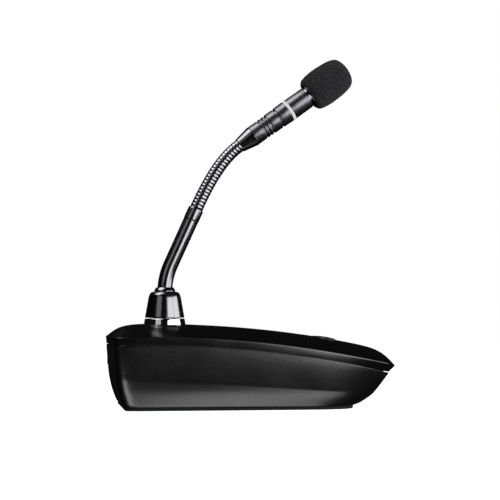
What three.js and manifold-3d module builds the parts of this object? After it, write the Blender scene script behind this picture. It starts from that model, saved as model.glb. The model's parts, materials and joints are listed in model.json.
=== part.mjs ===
// A wireless desktop base with a plug-in gooseneck microphone.
// Millimetres, +Z up. +X points to the front (the mute button's end), the gooseneck stands at the rear.
// The origin is on the table, under the middle of the base.
import * as THREE from "three";
import { mergeVertices } from "three/addons/utils/BufferGeometryUtils.js";
import Module from "manifold-3d";

const wasm = await Module();
wasm.setup();

// ---- Driving dimensions ----

// Outlines of the case at each level, seen from above: rear end, front end and half width.
const RIM = { rear: -62.2, front: 63, half: 38 };
const SEAM = { rear: -61.9, front: 60.2, half: 37.8 };
const BELLY = { rear: -61.5, front: 57, half: 37.3 };
const CREASE = { rear: -60.8, front: 53.1, half: 36.4 };
const HEEL = { rear: -57.8, front: 47.8, half: 32.2 };
const SOLE = { rear: -57.2, front: 45, half: 31.5 };
const WIDEST_X = 2; // where the case is widest
const REAR_SQUARENESS = 24; // superellipse exponents of the outline
const FRONT_SQUARENESS = 5;
const OUTLINE_STEPS = 60;
const OUTLINE_SAMPLES = 600;

// Side-view curves, each a cubic from the rear to the front: heights of its four control points.
const RIM_HEIGHTS = [31.1, 32.6, 28.2, 18.3];
const SEAM_HEIGHTS = [27.5, 28.8, 24, 14.8];
const CREASE_HEIGHTS = [13.2, 13, 9.6, 5.2];
const RIDGE_HEIGHTS = [36.8, 37.6, 34.8, 24.6];
const REAR_ROUNDING = 14; // how late the crown falls away towards each end
const FRONT_ROUNDING = 22;
const ROUNDING_POWER = 0.8;

const HEEL_Z = 2.4;
const SOLE_Z = 1.4;
const PAD_INSET = 0.3;
const SEAM_GAP = 0.4;
const COVER_WALL = 2;
const HOUSING_WALL = 3.2;
const FLOOR_Z = 3.4;
const LIP = { inset: 2.2, rise: 1.8, root: 3 };
const FIT = 0.15; // gap round pieces that sit still
const SLIP = 0.3; // gap round pieces that move

const SOCKET_X = -37.5;
const SOCKET = { seatZ: 36.1, seatRadius: 9.7, holeRadius: 6.8, topZ: 38.9, bottomZ: 21.4 };
const SOCKET_RADIUS = 6.5;
const SOCKET_BORE = 5.3;
const RING = { bottomRadius: 9.4, topRadius: 8.85, topZ: 39.15, edge: 0.35 };
const PLUG = { radius: 5, bore: 4.2, bottomZ: 25, flangeZ: 39.35, flangeRadius: 6.85, topZ: 41 };
const CONTACTS = 6;
const CONTACT_CIRCLE = 2.4;

const BOOT = { bottomZ: 39.5, bottomRadius: 8.82, shoulderZ: 49.2, shoulderRadius: 7.05, topZ: 51.1 };
const BOOT_TOP_RADIUS = 4.95;
const COLLAR = { bottomRadius: 4.82, topRadius: 3.9, topZ: 53 };
const TUBE = {
  radius: 3.35, bore: 2.2, bottomZ: 42, bendZ: 50.8, bendRadius: 30, lean: 24.3, straight: 21.7,
};
const LEAD_RADIUS = 1.1;

// The flexible stretch: links joined at pivots half a link from each end.
const FLEX_LENGTH = 35;
const FLEX_LEAN = 54; // lean from the vertical where the head begins, in degrees
const FLEX_EVENNESS = 0.36; // share of the bend that is spread evenly
const LINKS = 11;
const LINK_LENGTH = FLEX_LENGTH / (LINKS + 1);
const LINK = { bore: 1.1, crest: 3, root: 2.6, shoulder: 2.65 };

// Along the head's axis, from where the flexible stretch ends.
const FERRULE_END = 7.5;
const GRIP = { start: 7.6, end: 21.2, bore: 3.3 };
const LAMP_HOLDER = { start: 21.3, end: 27, groove: 4.1, radius: 5 };
const LIGHT_RING = { start: 27.1, end: 28.3, radius: 5, bore: 3.8 };
const CAPSULE_TUBE = { start: 28.4, end: 38.1, radius: 4.93, bore: 3.9 };
const CAPSULE_COLLAR = { start: 38.2, neck: 39.1, neckRadius: 4.6, end: 40.5, radius: 5.35 };
const GRILLE = { start: 40.6, end: 48.7, radius: 4.8, wall: 0.5 };
const CAPSULE = { start: 34, end: 44, radius: 3.75 };
const FOAM = { mouth: 39.4, cavityRadius: 5.55, cavityEnd: 49.6, end: 60.9 };

const BATTERY_DOOR = { rear: -22, front: 38, half: 20, thickness: 1.6 };
const DOOR_PIVOT = { x: -22.6, z: 2.45 };
const BATTERY = { rear: -19, front: 37, half: 18, bottomZ: 3.9, topZ: 13.5 };
const BOARD = { rear: -53, front: 43, half: 21, bottomZ: 16, topZ: 17.6 };
const STANDOFF_PLACES = [[-50.8, 17], [-50.8, -17], [41, 17], [41, -17]];
const MUTE_BUTTON = { x: 34.5, length: 24, width: 8, proud: 0.6, stroke: 0.8 };
const POST_PLACES = [[-46, 27], [-46, -27], [28, 27.5], [28, -27.5]];
const POWER_SWITCH = { y: 14, z: 20, width: 5, height: 3, travel: 4 };
const CHARGE_CONTACT = { x: -51.6, y: 6, radius: 1.6, bottomZ: 1, shoulderZ: 5, pinRadius: 0.7 };

// Inside the case.
const BALLAST = { rear: -48.5, front: -27, half: 22, thickness: 4 };
const SHIELD = { rear: -12, front: 12, right: -15, left: 9, height: 3 };
const ANTENNA = { rear: -18, front: 16, right: -20.5, left: -19.3, height: 7 };
const CELL_CONTACT = { y: 6, halfWidth: 1.5, legRear: -21.4, legFront: -20.8, footZ: 6, fingerZ: 7 };
const MUTE_SWITCH = { rear: 31.5, front: 37.5, right: -3, left: 3, height: 3.5 };
const SWITCH_BODY = { rear: -57, front: -53.4, right: 9, left: 23, bottomZ: 17.7, topZ: 23 };
const PREAMP = { start: 10, end: 27, halfWidth: 2.7, halfThickness: 0.6 };
const DOOR_GROOVES_Y = [-12, -4, 4, 12];

// ---- Materials ----

const paint = (color, roughness, metalness) =>
  new THREE.MeshStandardMaterial({ color, roughness, metalness });
const SATIN_BLACK = paint(0x1c1c1e, 0.42, 0);
const BLACK_NICKEL = paint(0x5c5c60, 0.14, 1);
const SOFT_BLACK = paint(0x161616, 0.85, 0);
const SMOKED_METAL = paint(0x3a3a3d, 0.3, 0.9);
const CHROME = paint(0xe8e8ea, 0.06, 1);
const STEEL = paint(0x8d9094, 0.35, 1);
const GOLD = paint(0xc9a24a, 0.25, 1);
const BOARD_GREEN = paint(0x1d4a2c, 0.6, 0);
const CELL_GREY = paint(0x4a4d52, 0.5, 0);
const FROSTED_WHITE = paint(0xe6e6e4, 0.35, 0);
const SMOKED_LENS = paint(0x101012, 0.1, 0);
const DARK_RED = paint(0x2a0708, 0.15, 0);
const FOAM_BLACK = paint(0x262527, 1, 0);

// ---- Solids: joining, cutting and placing ----

function solidOf(geometry) {
  const bare = new THREE.BufferGeometry();
  const source = geometry.index ? geometry.toNonIndexed() : geometry;
  bare.setAttribute("position", source.getAttribute("position"));
  const merged = mergeVertices(bare, 1e-4);
  return new wasm.Manifold(
    new wasm.Mesh({
      numProp: 3,
      vertProperties: merged.attributes.position.array,
      triVerts: new Uint32Array(merged.index.array),
    }),
  );
}

function geometryOf(solid) {
  const mesh = solid.getMesh();
  const geometry = new THREE.BufferGeometry();
  geometry.setAttribute("position", new THREE.BufferAttribute(mesh.vertProperties, 3));
  geometry.setIndex(new THREE.BufferAttribute(mesh.triVerts, 1));
  return geometry;
}

const cut = (geometry, ...tools) =>
  geometryOf(tools.reduce((rest, tool) => rest.subtract(solidOf(tool)), solidOf(geometry)));
const join = (...geometries) =>
  geometryOf(geometries.map(solidOf).reduce((whole, piece) => whole.add(piece)));
const common = (a, b) => geometryOf(solidOf(a).intersect(solidOf(b)));

// A box given by its two corners.
function block(low, high) {
  const size = high.map((value, axis) => value - low[axis]);
  const middle = high.map((value, axis) => (value + low[axis]) / 2);
  return new THREE.BoxGeometry(...size).translate(...middle);
}

// A turned piece about Z. The profile is a closed loop of [radius, z], anticlockwise.
function turned(profile, steps = 32) {
  const points = [...profile, profile[0]].map(([radius, z]) => new THREE.Vector2(radius, z));
  return new THREE.LatheGeometry(points, steps).rotateX(Math.PI / 2);
}

// A plain cylinder along Z, at x and y.
function peg(radius, bottomZ, topZ, x = 0, y = 0, steps = 20) {
  return new THREE.CylinderGeometry(radius, radius, topZ - bottomZ, steps)
    .rotateX(Math.PI / 2)
    .translate(x, y, (topZ + bottomZ) / 2);
}

// A slab with round ends, long across Y.
function stadium(length, width, bottomZ, topZ, x) {
  const radius = width / 2;
  const reach = length / 2 - radius;
  const shape = new THREE.Shape();
  shape.absarc(0, reach, radius, 0, Math.PI);
  shape.absarc(0, -reach, radius, Math.PI, 2 * Math.PI);
  shape.closePath();
  return new THREE.ExtrudeGeometry(shape, {
    depth: topZ - bottomZ,
    bevelEnabled: false,
    curveSegments: 12,
  }).translate(x, 0, bottomZ);
}

const object = new THREE.Group();

function add(name, geometry, material, parent = object) {
  const mesh = new THREE.Mesh(geometry, material);
  mesh.name = name;
  parent.add(mesh);
  return mesh;
}

// ---- The case's surfaces ----

// A cubic height curve over the length of the case.
function heightCurve([start, first, second, end]) {
  return (x) => {
    const t = (x - RIM.rear) / (RIM.front - RIM.rear);
    const u = 1 - t;
    return u * u * u * start + 3 * u * u * t * first + 3 * u * t * t * second + t * t * t * end;
  };
}
const rimZ = heightCurve(RIM_HEIGHTS);
const seamZ = heightCurve(SEAM_HEIGHTS);
const creaseZ = heightCurve(CREASE_HEIGHTS);
const ridgeZ = heightCurve(RIDGE_HEIGHTS);

// A superellipse outline, squarer at the rear than at the front.
class Outline extends THREE.Curve {
  constructor({ rear, front, half }, inset = 0, share = 1) {
    super();
    this.rearReach = (WIDEST_X - rear - inset) * share;
    this.frontReach = (front - WIDEST_X - inset) * share;
    this.half = (half - inset) * share;
  }

  getPoint(t) {
    const angle = 2 * Math.PI * t;
    const isFront = Math.cos(angle) >= 0;
    const reach = isFront ? this.frontReach : this.rearReach;
    const power = isFront ? FRONT_SQUARENESS : REAR_SQUARENESS;
    const along = Math.abs(Math.cos(angle) / reach) ** power;
    const across = Math.abs(Math.sin(angle) / this.half) ** power;
    const radius = (along + across) ** (-1 / power);
    return new THREE.Vector3(WIDEST_X + radius * Math.cos(angle), radius * Math.sin(angle), 0);
  }

  // Points spaced half by length and half by turning, so that the corners stay round.
  getTurnedPoints(count) {
    const fine = this.getSpacedPoints(OUTLINE_SAMPLES);
    const steps = fine.slice(1).map((point, i) => point.clone().sub(fine[i]));
    const turns = steps.map((step, i) => step.angleTo(steps.at(i - 1)));
    const length = steps.reduce((sum, step) => sum + step.length(), 0);
    const turning = turns.reduce((sum, turn) => sum + turn, 0);
    const reached = [0];
    steps.forEach((step, i) => {
      reached.push(reached[i] + (step.length() / length + turns[i] / turning) / 2);
    });
    const points = [];
    for (let i = 0, k = 0; i <= count; i++) {
      while (k < OUTLINE_SAMPLES - 1 && reached[k + 1] < i / count) k++;
      const share = Math.min(1, (i / count - reached[k]) / (reached[k + 1] - reached[k]));
      points.push(fine[k].clone().lerp(fine[k + 1], share));
    }
    return points;
  }
}

// Half width of the rim outline at x.
function rimHalfWidth(x) {
  const isFront = x >= WIDEST_X;
  const reach = isFront ? RIM.front - WIDEST_X : WIDEST_X - RIM.rear;
  const power = isFront ? FRONT_SQUARENESS : REAR_SQUARENESS;
  const left = 1 - Math.min(1, Math.abs(x - WIDEST_X) / reach) ** power;
  return RIM.half * left ** (1 / power);
}

// The crown: domed across the case, rounded down to the rim at both ends.
function crownZ(x, y) {
  const isFront = x >= WIDEST_X;
  const reach = isFront ? RIM.front - WIDEST_X : WIDEST_X - RIM.rear;
  const share = Math.min(1, Math.abs(x - WIDEST_X) / reach);
  const rounding = isFront ? FRONT_ROUNDING : REAR_ROUNDING;
  const alongRise = (1 - share ** rounding) ** ROUNDING_POWER;
  const width = rimHalfWidth(x);
  const acrossRise = width > 1e-3 ? Math.max(0, 1 - (y / width) ** 2) : 0;
  return rimZ(x) + (ridgeZ(x) - rimZ(x)) * alongRise * acrossRise;
}

// A closed body through level outlines, listed from the top down.
// It is a cylinder whose rows are moved onto the levels' outlines and heights.
function hull(levels) {
  const rows = levels.length - 1;
  const shape = new THREE.CylinderGeometry(1, 1, 1, OUTLINE_STEPS, rows);
  const rings = levels.map(({ outline }) => outline.getTurnedPoints(OUTLINE_STEPS));
  const position = shape.getAttribute("position");
  for (let i = 0; i < position.count; i++) {
    const row = Math.round((0.5 - position.getY(i)) * rows);
    const isCentre = Math.hypot(position.getX(i), position.getZ(i)) < 1e-6;
    const turn = Math.atan2(position.getX(i), position.getZ(i)) / (2 * Math.PI);
    const step = Math.round(((turn + 1) % 1) * OUTLINE_STEPS) % OUTLINE_STEPS;
    const point = isCentre ? new THREE.Vector3(WIDEST_X, 0, 0) : rings[row][step];
    position.setXYZ(i, point.x, point.y, levels[row].height(point.x, point.y));
  }
  return shape;
}

const level = (outline, height) => ({ outline, height });

// Rings of the crown, each a smaller copy of the rim.
const OUTER_SHARES = [0.25, 0.5, 0.7, 0.84, 0.92, 0.965, 0.988];
const INNER_SHARES = [0.5, 0.8, 0.95];
function crownLevels(shares, inset, drop) {
  return shares.map((share) =>
    level(new Outline(RIM, inset, share), (x, y) => crownZ(x, y) - drop),
  );
}

// ---- Case: top cover, lower housing, base pad ----

function coverSolid() {
  return hull([
    ...crownLevels(OUTER_SHARES, 0, 0),
    level(new Outline(RIM), rimZ),
    level(new Outline(SEAM), (x) => seamZ(x) + SEAM_GAP / 2),
  ]);
}

function coverCavity() {
  return hull([
    ...crownLevels(INNER_SHARES, COVER_WALL, COVER_WALL),
    level(new Outline(RIM, COVER_WALL), (x) => rimZ(x) - COVER_WALL / 2),
    level(new Outline(SEAM, COVER_WALL), (x) => seamZ(x) - SEAM_GAP),
  ]);
}

const postTopZ = (x) => seamZ(x) - 4;

function coverBoss([x, y]) {
  const boss = peg(2.8, postTopZ(x) + 0.3, crownZ(x, y) - 1, x, y);
  return cut(boss, peg(1.35, 0, crownZ(x, y) - 3, x, y, 16));
}

// The two round lamps and the long lamp behind the mute button, as upright pegs to cut and to fill.
const lampPegs = {
  status_light: (gap) => stadium(12 + 2 * gap, 1.6 + 2 * gap, 20, 45, 26.5),
  battery_light: (gap) => peg(1 + gap, 20, 45, 26.5, 10, 16),
  link_light: (gap) => peg(1 + gap, 20, 45, 26.5, -10, 16),
};

function topCover() {
  const { x, length, width } = MUTE_BUTTON;
  const shell = cut(
    coverSolid(),
    coverCavity(),
    peg(SOCKET.holeRadius, 20, 50, SOCKET_X, 0, 40),
    peg(SOCKET.seatRadius, SOCKET.seatZ, 50, SOCKET_X, 0, 48),
    stadium(length + 2 * SLIP, width + 2 * SLIP, 15, 45, x),
    ...Object.values(lampPegs).map((lampPeg) => lampPeg(FIT)),
  );
  return join(shell, ...POST_PLACES.map(coverBoss));
}
add("top_cover", topCover(), SATIN_BLACK);

function housingSolid() {
  return hull([
    level(new Outline(SEAM), (x) => seamZ(x) - SEAM_GAP / 2),
    level(new Outline(BELLY), (x) => (seamZ(x) + creaseZ(x)) / 2),
    level(new Outline(CREASE), creaseZ),
    level(new Outline(HEEL), () => HEEL_Z),
    level(new Outline(SOLE), () => SOLE_Z),
  ]);
}

function housingLip() {
  return hull([
    level(new Outline(SEAM, LIP.inset), (x) => seamZ(x) + LIP.rise),
    level(new Outline(SEAM, LIP.inset), (x) => seamZ(x) - LIP.root),
  ]);
}

function housingCavity() {
  return hull([
    level(new Outline(SEAM, HOUSING_WALL), (x) => seamZ(x) + 6),
    level(new Outline(SEAM, HOUSING_WALL), seamZ),
    level(new Outline(BELLY, HOUSING_WALL), (x) => (seamZ(x) + creaseZ(x)) / 2),
    level(new Outline(CREASE, HOUSING_WALL), creaseZ),
    level(new Outline(HEEL, HOUSING_WALL), () => FLOOR_Z),
  ]);
}

const SCREW = { headRadius: 2.2, shankRadius: 1.15, headHeight: 1.6 };
const headZ = (x) => postTopZ(x) - 5; // where a case screw's head sits in its post

// A post with a deep pocket from below for the screw's head.
function housingPost([x, y]) {
  const post = peg(3.6, FLOOR_Z - 1, postTopZ(x), x, y);
  return cut(post, ...postHoles([x, y]));
}

function postHoles([x, y]) {
  return [
    peg(SCREW.headRadius + SLIP, -1, headZ(x) + SCREW.headHeight, x, y, 24),
    peg(SCREW.shankRadius + FIT, 0, 40, x, y, 16),
  ];
}

// A standoff that carries a corner of the main board, with a pin through the board.
function standoff([x, y]) {
  const pillar = peg(1.8, FLOOR_Z - 1, BOARD.bottomZ - FIT, x, y, 16);
  return join(pillar, peg(0.9, FLOOR_Z, BOARD.topZ + 0.8, x, y, 12));
}

function doorOpening(gap) {
  return block(
    [DOOR_PIVOT.x - 1.2 - gap, -BATTERY_DOOR.half - gap, -1],
    [BATTERY_DOOR.front + gap, BATTERY_DOOR.half + gap, FLOOR_Z + 1],
  );
}

// Ears on the floor that carry the battery door's pins.
function doorEar(side) {
  const inner = side * (BATTERY_DOOR.half + SLIP);
  const outer = side * (BATTERY_DOOR.half + 3.3);
  return block(
    [DOOR_PIVOT.x - 2, Math.min(inner, outer), FLOOR_Z - 1],
    [DOOR_PIVOT.x + 2, Math.max(inner, outer), FLOOR_Z + 1.4],
  );
}

const doorAxle = (radius, halfLength) =>
  new THREE.CylinderGeometry(radius, radius, 2 * halfLength, 16).translate(
    DOOR_PIVOT.x, 0, DOOR_PIVOT.z,
  );

// A round charging contact in the sole, with its pin up to the main board.
function chargeContact(side) {
  const { x, y, radius, bottomZ, shoulderZ, pinRadius } = CHARGE_CONTACT;
  const head = peg(radius, bottomZ, shoulderZ, x, side * y);
  return join(head, peg(pinRadius, shoulderZ - 0.2, BOARD.bottomZ - 0.1, x, side * y, 12));
}

const chargeHole = (side, radius) =>
  peg(radius, -1, FLOOR_Z + 1, CHARGE_CONTACT.x, side * CHARGE_CONTACT.y);

function powerSlot() {
  const { y, z, width, height, travel } = POWER_SWITCH;
  return block(
    [-65, y - width / 2 - SLIP, z - height / 2 - SLIP],
    [-57, y + width / 2 + travel + SLIP, z + height / 2 + SLIP],
  );
}

// The remote-setup window is a slanted block in the front face.
function frontWindow(gap, depth) {
  return new THREE.BoxGeometry(depth, 9 + 2 * gap, 4 + 2 * gap)
    .rotateY((37 * Math.PI) / 180)
    .translate(56.3, 0, 10.9);
}

function lowerHousing() {
  const tub = cut(join(housingSolid(), housingLip()), housingCavity());
  const posts = [...POST_PLACES.map(housingPost), ...STANDOFF_PLACES.map(standoff)];
  const fitted = join(tub, ...posts, doorEar(1), doorEar(-1));
  return cut(
    fitted,
    doorOpening(SLIP),
    doorAxle(0.6 + SLIP, BATTERY_DOOR.half + 2.4),
    powerSlot(),
    frontWindow(FIT, 12),
    ...[1, -1].map((side) => chargeHole(side, CHARGE_CONTACT.radius + FIT)),
    ...POST_PLACES.flatMap(postHoles),
  );
}
add("lower_housing", lowerHousing(), SATIN_BLACK);

function basePad() {
  const pad = hull([
    level(new Outline(SOLE, PAD_INSET), () => SOLE_Z - 0.1),
    level(new Outline(SOLE, PAD_INSET), () => 0.3),
    level(new Outline(SOLE, PAD_INSET + 0.3), () => 0),
  ]);
  const screwAccess = POST_PLACES.map(([x, y]) => peg(SCREW.headRadius + 0.6, -1, 3, x, y, 24));
  const chargeAccess = [1, -1].map((side) => chargeHole(side, CHARGE_CONTACT.radius + 0.8));
  return cut(pad, doorOpening(SLIP + 0.4), ...screwAccess, ...chargeAccess);
}
add("base_pad", basePad(), SOFT_BLACK);

POST_PLACES.forEach(([x, y], index) => {
  const screw = join(
    peg(SCREW.headRadius, headZ(x), headZ(x) + SCREW.headHeight - FIT, x, y, 24),
    peg(SCREW.shankRadius, headZ(x) + 0.5, crownZ(x, y) - 3.4, x, y, 16),
  );
  const hexKey = new THREE.CylinderGeometry(1.1, 1.1, 1.6, 6).rotateX(Math.PI / 2);
  add(`case_screw_${index + 1}`, cut(screw, hexKey.translate(x, y, headZ(x))), STEEL);
});

// ---- Inside the case ----

add("ballast_plate", block(
  [BALLAST.rear, -BALLAST.half, FLOOR_Z + 0.1],
  [BALLAST.front, BALLAST.half, FLOOR_Z + 0.1 + BALLAST.thickness],
), STEEL);

function mainBoard() {
  const { rear, front, half, bottomZ, topZ } = BOARD;
  const board = block([rear, -half, bottomZ], [front, half, topZ]);
  return cut(board, ...STANDOFF_PLACES.map(([x, y]) => peg(1.1, 0, 40, x, y, 12)));
}
add("main_board", mainBoard(), BOARD_GREEN);

// A block standing on the main board.
const onBoard = ({ rear, front, right, left, height }) =>
  block([rear, right, BOARD.topZ], [front, left, BOARD.topZ + height]);
add("radio_shield", onBoard(SHIELD), STEEL);
add("antenna_board", onBoard(ANTENNA), BOARD_GREEN);

add("battery_pack", block(
  [BATTERY.rear, -BATTERY.half, BATTERY.bottomZ],
  [BATTERY.front, BATTERY.half, BATTERY.topZ],
), CELL_GREY);

// A leg down from the board with a finger that reaches forward to the battery.
function cellContact(side) {
  const { y, halfWidth, legRear, legFront, footZ, fingerZ } = CELL_CONTACT;
  const [right, left] = [side * y - halfWidth, side * y + halfWidth];
  const leg = block([legRear, right, footZ], [legFront, left, BOARD.bottomZ]);
  const thickness = legFront - legRear;
  return join(leg, block([legRear, right, fingerZ], [BATTERY.rear - 0.1, left, fingerZ + thickness]));
}
add("battery_contact_plus", cellContact(1), GOLD);
add("battery_contact_minus", cellContact(-1), GOLD);
add("mute_switch", onBoard(MUTE_SWITCH), SOFT_BLACK);

// ---- Lamps, button, switch and contacts in the case's wall ----

Object.entries(lampPegs).forEach(([name, lampPeg]) => {
  const lamp = common(lampPeg(0), coverSolid());
  const foot = block([0, -30, 0], [60, 30, BOARD.topZ + 3.2]);
  add(name, cut(lamp, foot), SMOKED_LENS);
});

function muteButton() {
  const { x, length, width, proud, stroke } = MUTE_BUTTON;
  const key = common(stadium(length, width, 20, 45, x), coverSolid().translate(0, 0, proud));
  const underside = crownZ(x + width / 2, length / 2) - COVER_WALL - SLIP;
  const trimmed = cut(key, block([0, -30, 0], [60, 30, underside - 1.2]));
  const flange = stadium(length + 2.4, width + 2.4, underside - 1.2, underside, x);
  const stemBottom = BOARD.topZ + MUTE_SWITCH.height + stroke + 0.2;
  return join(trimmed, flange, peg(2, stemBottom, underside, x));
}
add("mute_button", muteButton(), SATIN_BLACK);

function powerSlider() {
  const { y, z, width, height } = POWER_SWITCH;
  const knob = block([-62.2, y - width / 2, z - height / 2], [-57.6, y + width / 2, z + height / 2]);
  const plate = block([-57.8, y - width / 2 - 1.5, z - 2.6], [-57.2, y + width / 2 + 1.5, z + 2.6]);
  const grooves = [-1.2, 0, 1.2].map((offset) =>
    block([-62.5, y + offset - 0.25, z - 3], [-61.7, y + offset + 0.25, z + 3]),
  );
  return cut(join(knob, plate), ...grooves);
}
add("power_slider", powerSlider(), SATIN_BLACK);
add("power_switch_body", block(
  [SWITCH_BODY.rear, SWITCH_BODY.right, SWITCH_BODY.bottomZ],
  [SWITCH_BODY.front, SWITCH_BODY.left, SWITCH_BODY.topZ],
), SOFT_BLACK);
add("charge_contact_left", chargeContact(1), GOLD);
add("charge_contact_right", chargeContact(-1), GOLD);
add("infrared_window", common(frontWindow(0, 9), housingSolid()), DARK_RED);

// ---- Battery door ----

function batteryDoor() {
  const { rear, front, half, thickness } = BATTERY_DOOR;
  const top = SOLE_Z + thickness;
  const plate = block([DOOR_PIVOT.x, -half, SOLE_Z], [front, half, top]);
  const grooves = DOOR_GROOVES_Y.map((y) =>
    block([front - 9, y - 1.5, 0], [front - 3, y + 1.5, SOLE_Z + 0.5]),
  );
  const foldLine = block([rear, -half, 0], [rear + 0.3, half, SOLE_Z + 0.4]);
  const knuckle = doorAxle(thickness / 2 + 0.05, half);
  return cut(join(plate, knuckle, doorAxle(0.6, half + 2)), ...grooves, foldLine);
}
add("battery_door", batteryDoor(), SATIN_BLACK);

// ---- Gooseneck socket in the base ----

const onSocket = new THREE.Group();
onSocket.position.x = SOCKET_X;
object.add(onSocket);

const contactPegs = (radius, bottomZ, topZ) =>
  Array.from({ length: CONTACTS }, (_, i) => {
    const angle = ((i + 0.5) / CONTACTS) * 2 * Math.PI;
    const [x, y] = [CONTACT_CIRCLE * Math.cos(angle), CONTACT_CIRCLE * Math.sin(angle)];
    return peg(radius, bottomZ, topZ, x, y, 10);
  });

add("socket_shell", turned([
  [SOCKET_BORE, SOCKET.bottomZ], [SOCKET_RADIUS, SOCKET.bottomZ], [SOCKET_RADIUS, 31.7],
  [9, 31.7], [9, 33.5], [SOCKET_RADIUS, 33.5], [SOCKET_RADIUS, SOCKET.topZ], [SOCKET_BORE, SOCKET.topZ],
]), STEEL, onSocket);

function socketInsert() {
  const base = peg(SOCKET_BORE - 0.1, SOCKET.bottomZ + 0.1, 24.4);
  const core = peg(PLUG.bore - 0.2, 24, 34.9);
  return cut(join(base, core), ...contactPegs(0.62, 27.4, 40));
}
add("socket_insert", socketInsert(), SOFT_BLACK, onSocket);

add("chrome_ring", turned([
  [SOCKET_RADIUS + 0.25, SOCKET.seatZ + 0.05],
  [RING.bottomRadius, SOCKET.seatZ + 0.05],
  [RING.topRadius, RING.topZ - RING.edge],
  [RING.topRadius - 0.1, RING.topZ - 0.1],
  [RING.topRadius - RING.edge, RING.topZ],
  [SOCKET_RADIUS + 0.25, RING.topZ],
], 56), CHROME, onSocket);

// ---- Microphone stem: plug, boot, collar, bent tube ----

add("plug_shell", turned([
  [PLUG.bore, PLUG.bottomZ], [PLUG.radius, PLUG.bottomZ], [PLUG.radius, PLUG.flangeZ],
  [PLUG.flangeRadius, PLUG.flangeZ], [PLUG.flangeRadius, PLUG.topZ], [2, PLUG.topZ],
  [2, 37.5], [PLUG.bore, 37.5],
]), STEEL, onSocket);
add("plug_pins", join(peg(PLUG.bore - 0.1, 35.4, 37.4), ...contactPegs(0.45, 28, 36)), GOLD, onSocket);

// The boot's rounded shoulder is a quarter ellipse.
const shoulder = Array.from({ length: 6 }, (_, i) => {
  const angle = (i / 5) * (Math.PI / 2);
  return [
    BOOT_TOP_RADIUS + (BOOT.shoulderRadius - BOOT_TOP_RADIUS) * Math.cos(angle),
    BOOT.shoulderZ + (BOOT.topZ - BOOT.shoulderZ) * Math.sin(angle),
  ];
});
add("neck_boot", turned([
  [7.35, BOOT.bottomZ], [BOOT.bottomRadius, BOOT.bottomZ], ...shoulder,
  [TUBE.radius + 0.2, BOOT.topZ], [TUBE.radius + 0.2, 47.6], [5.8, 46.6], [7.3, 41.6],
], 48), BLACK_NICKEL, onSocket);
add("boot_collar", turned([
  [TUBE.radius + 0.2, BOOT.topZ + 0.1], [COLLAR.bottomRadius, BOOT.topZ + 0.1],
  [COLLAR.topRadius, COLLAR.topZ], [TUBE.radius + 0.2, COLLAR.topZ],
], 48), BLACK_NICKEL, onSocket);

const radians = (degrees) => (degrees * Math.PI) / 180;

// The tube's centre line: straight up, round one bend, then straight at its lean.
class TubeLine extends THREE.Curve {
  constructor(startZ) {
    super();
    this.rise = TUBE.bendZ - startZ;
    this.arc = TUBE.bendRadius * radians(TUBE.lean);
    this.total = this.rise + this.arc + TUBE.straight;
  }

  getPoint(t) {
    const along = t * this.total;
    if (along < this.rise) return new THREE.Vector3(SOCKET_X, 0, TUBE.bendZ - this.rise + along);
    const lean = Math.min(along - this.rise, this.arc) / TUBE.bendRadius;
    const beyond = Math.max(0, along - this.rise - this.arc);
    return new THREE.Vector3(
      SOCKET_X + TUBE.bendRadius * (1 - Math.cos(lean)) + beyond * Math.sin(lean),
      0,
      TUBE.bendZ + TUBE.bendRadius * Math.sin(lean) + beyond * Math.cos(lean),
    );
  }
}

// A round rod or pipe along a line.
function pipe(line, radius, bore, sides, steps) {
  const shape = new THREE.Shape().absarc(0, 0, radius, 0, 2 * Math.PI);
  if (bore) shape.holes.push(new THREE.Path().absarc(0, 0, bore, 0, 2 * Math.PI, true));
  return new THREE.ExtrudeGeometry(shape, { extrudePath: line, steps, curveSegments: sides });
}
add("neck_tube", pipe(new TubeLine(TUBE.bottomZ), TUBE.radius, TUBE.bore, 11, 16), BLACK_NICKEL);
add("stem_lead", pipe(new TubeLine(TUBE.bottomZ), LEAD_RADIUS, 0, 4, 12), SOFT_BLACK);

// ---- Flexible stretch ----

// Place and lean of the centre line, from the top of the tube's ferrule.
const LOWER_FERRULE = 6;
const flexStart = (() => {
  const tubeEnd = new TubeLine(TUBE.bottomZ).getPoint(1);
  const reach = LOWER_FERRULE + 0.1;
  return {
    x: tubeEnd.x + reach * Math.sin(radians(TUBE.lean)),
    z: tubeEnd.z + reach * Math.cos(radians(TUBE.lean)),
  };
})();

function leanAt(along) {
  const t = along / FLEX_LENGTH;
  const share = FLEX_EVENNESS * t + (1 - FLEX_EVENNESS) * t ** 3;
  return radians(TUBE.lean + (FLEX_LEAN - TUBE.lean) * share);
}

function flexPlace(along) {
  const steps = Math.max(1, Math.round(along * 8));
  const place = { ...flexStart };
  for (let i = 0; i < steps; i++) {
    const lean = leanAt(((i + 0.5) / steps) * along);
    place.x += (Math.sin(lean) * along) / steps;
    place.z += (Math.cos(lean) * along) / steps;
  }
  return place;
}

// A group standing on the centre line with its own Z along it.
function groupAt(along) {
  const group = new THREE.Group();
  const { x, z } = flexPlace(along);
  group.position.set(x, 0, z);
  group.rotation.y = leanAt(along);
  object.add(group);
  return group;
}

const linkEnd = LINK_LENGTH / 2;
// The cone at a link's end leaves room for its neighbour to tilt. Listed from the bore outwards.
const linkTip = [[LINK.bore, linkEnd - 0.2], [LINK.shoulder, linkEnd - 0.46], [LINK.crest, linkEnd - 0.73]];
const mirrored = (profile) => profile.map(([radius, z]) => [radius, -z]);

const onTubeEnd = groupAt(0);
add("lower_ferrule", turned([
  [1.6, -LOWER_FERRULE], [3.3, -LOWER_FERRULE], [3.3, -5.4], [3.45, -5.2], [3.45, -0.2],
  [3.25, 0], [LINK.root, 0.1], ...[...linkTip].reverse(), [LINK.bore, 0.4], [1.6, 0],
], 28), BLACK_NICKEL, onTubeEnd);

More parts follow.
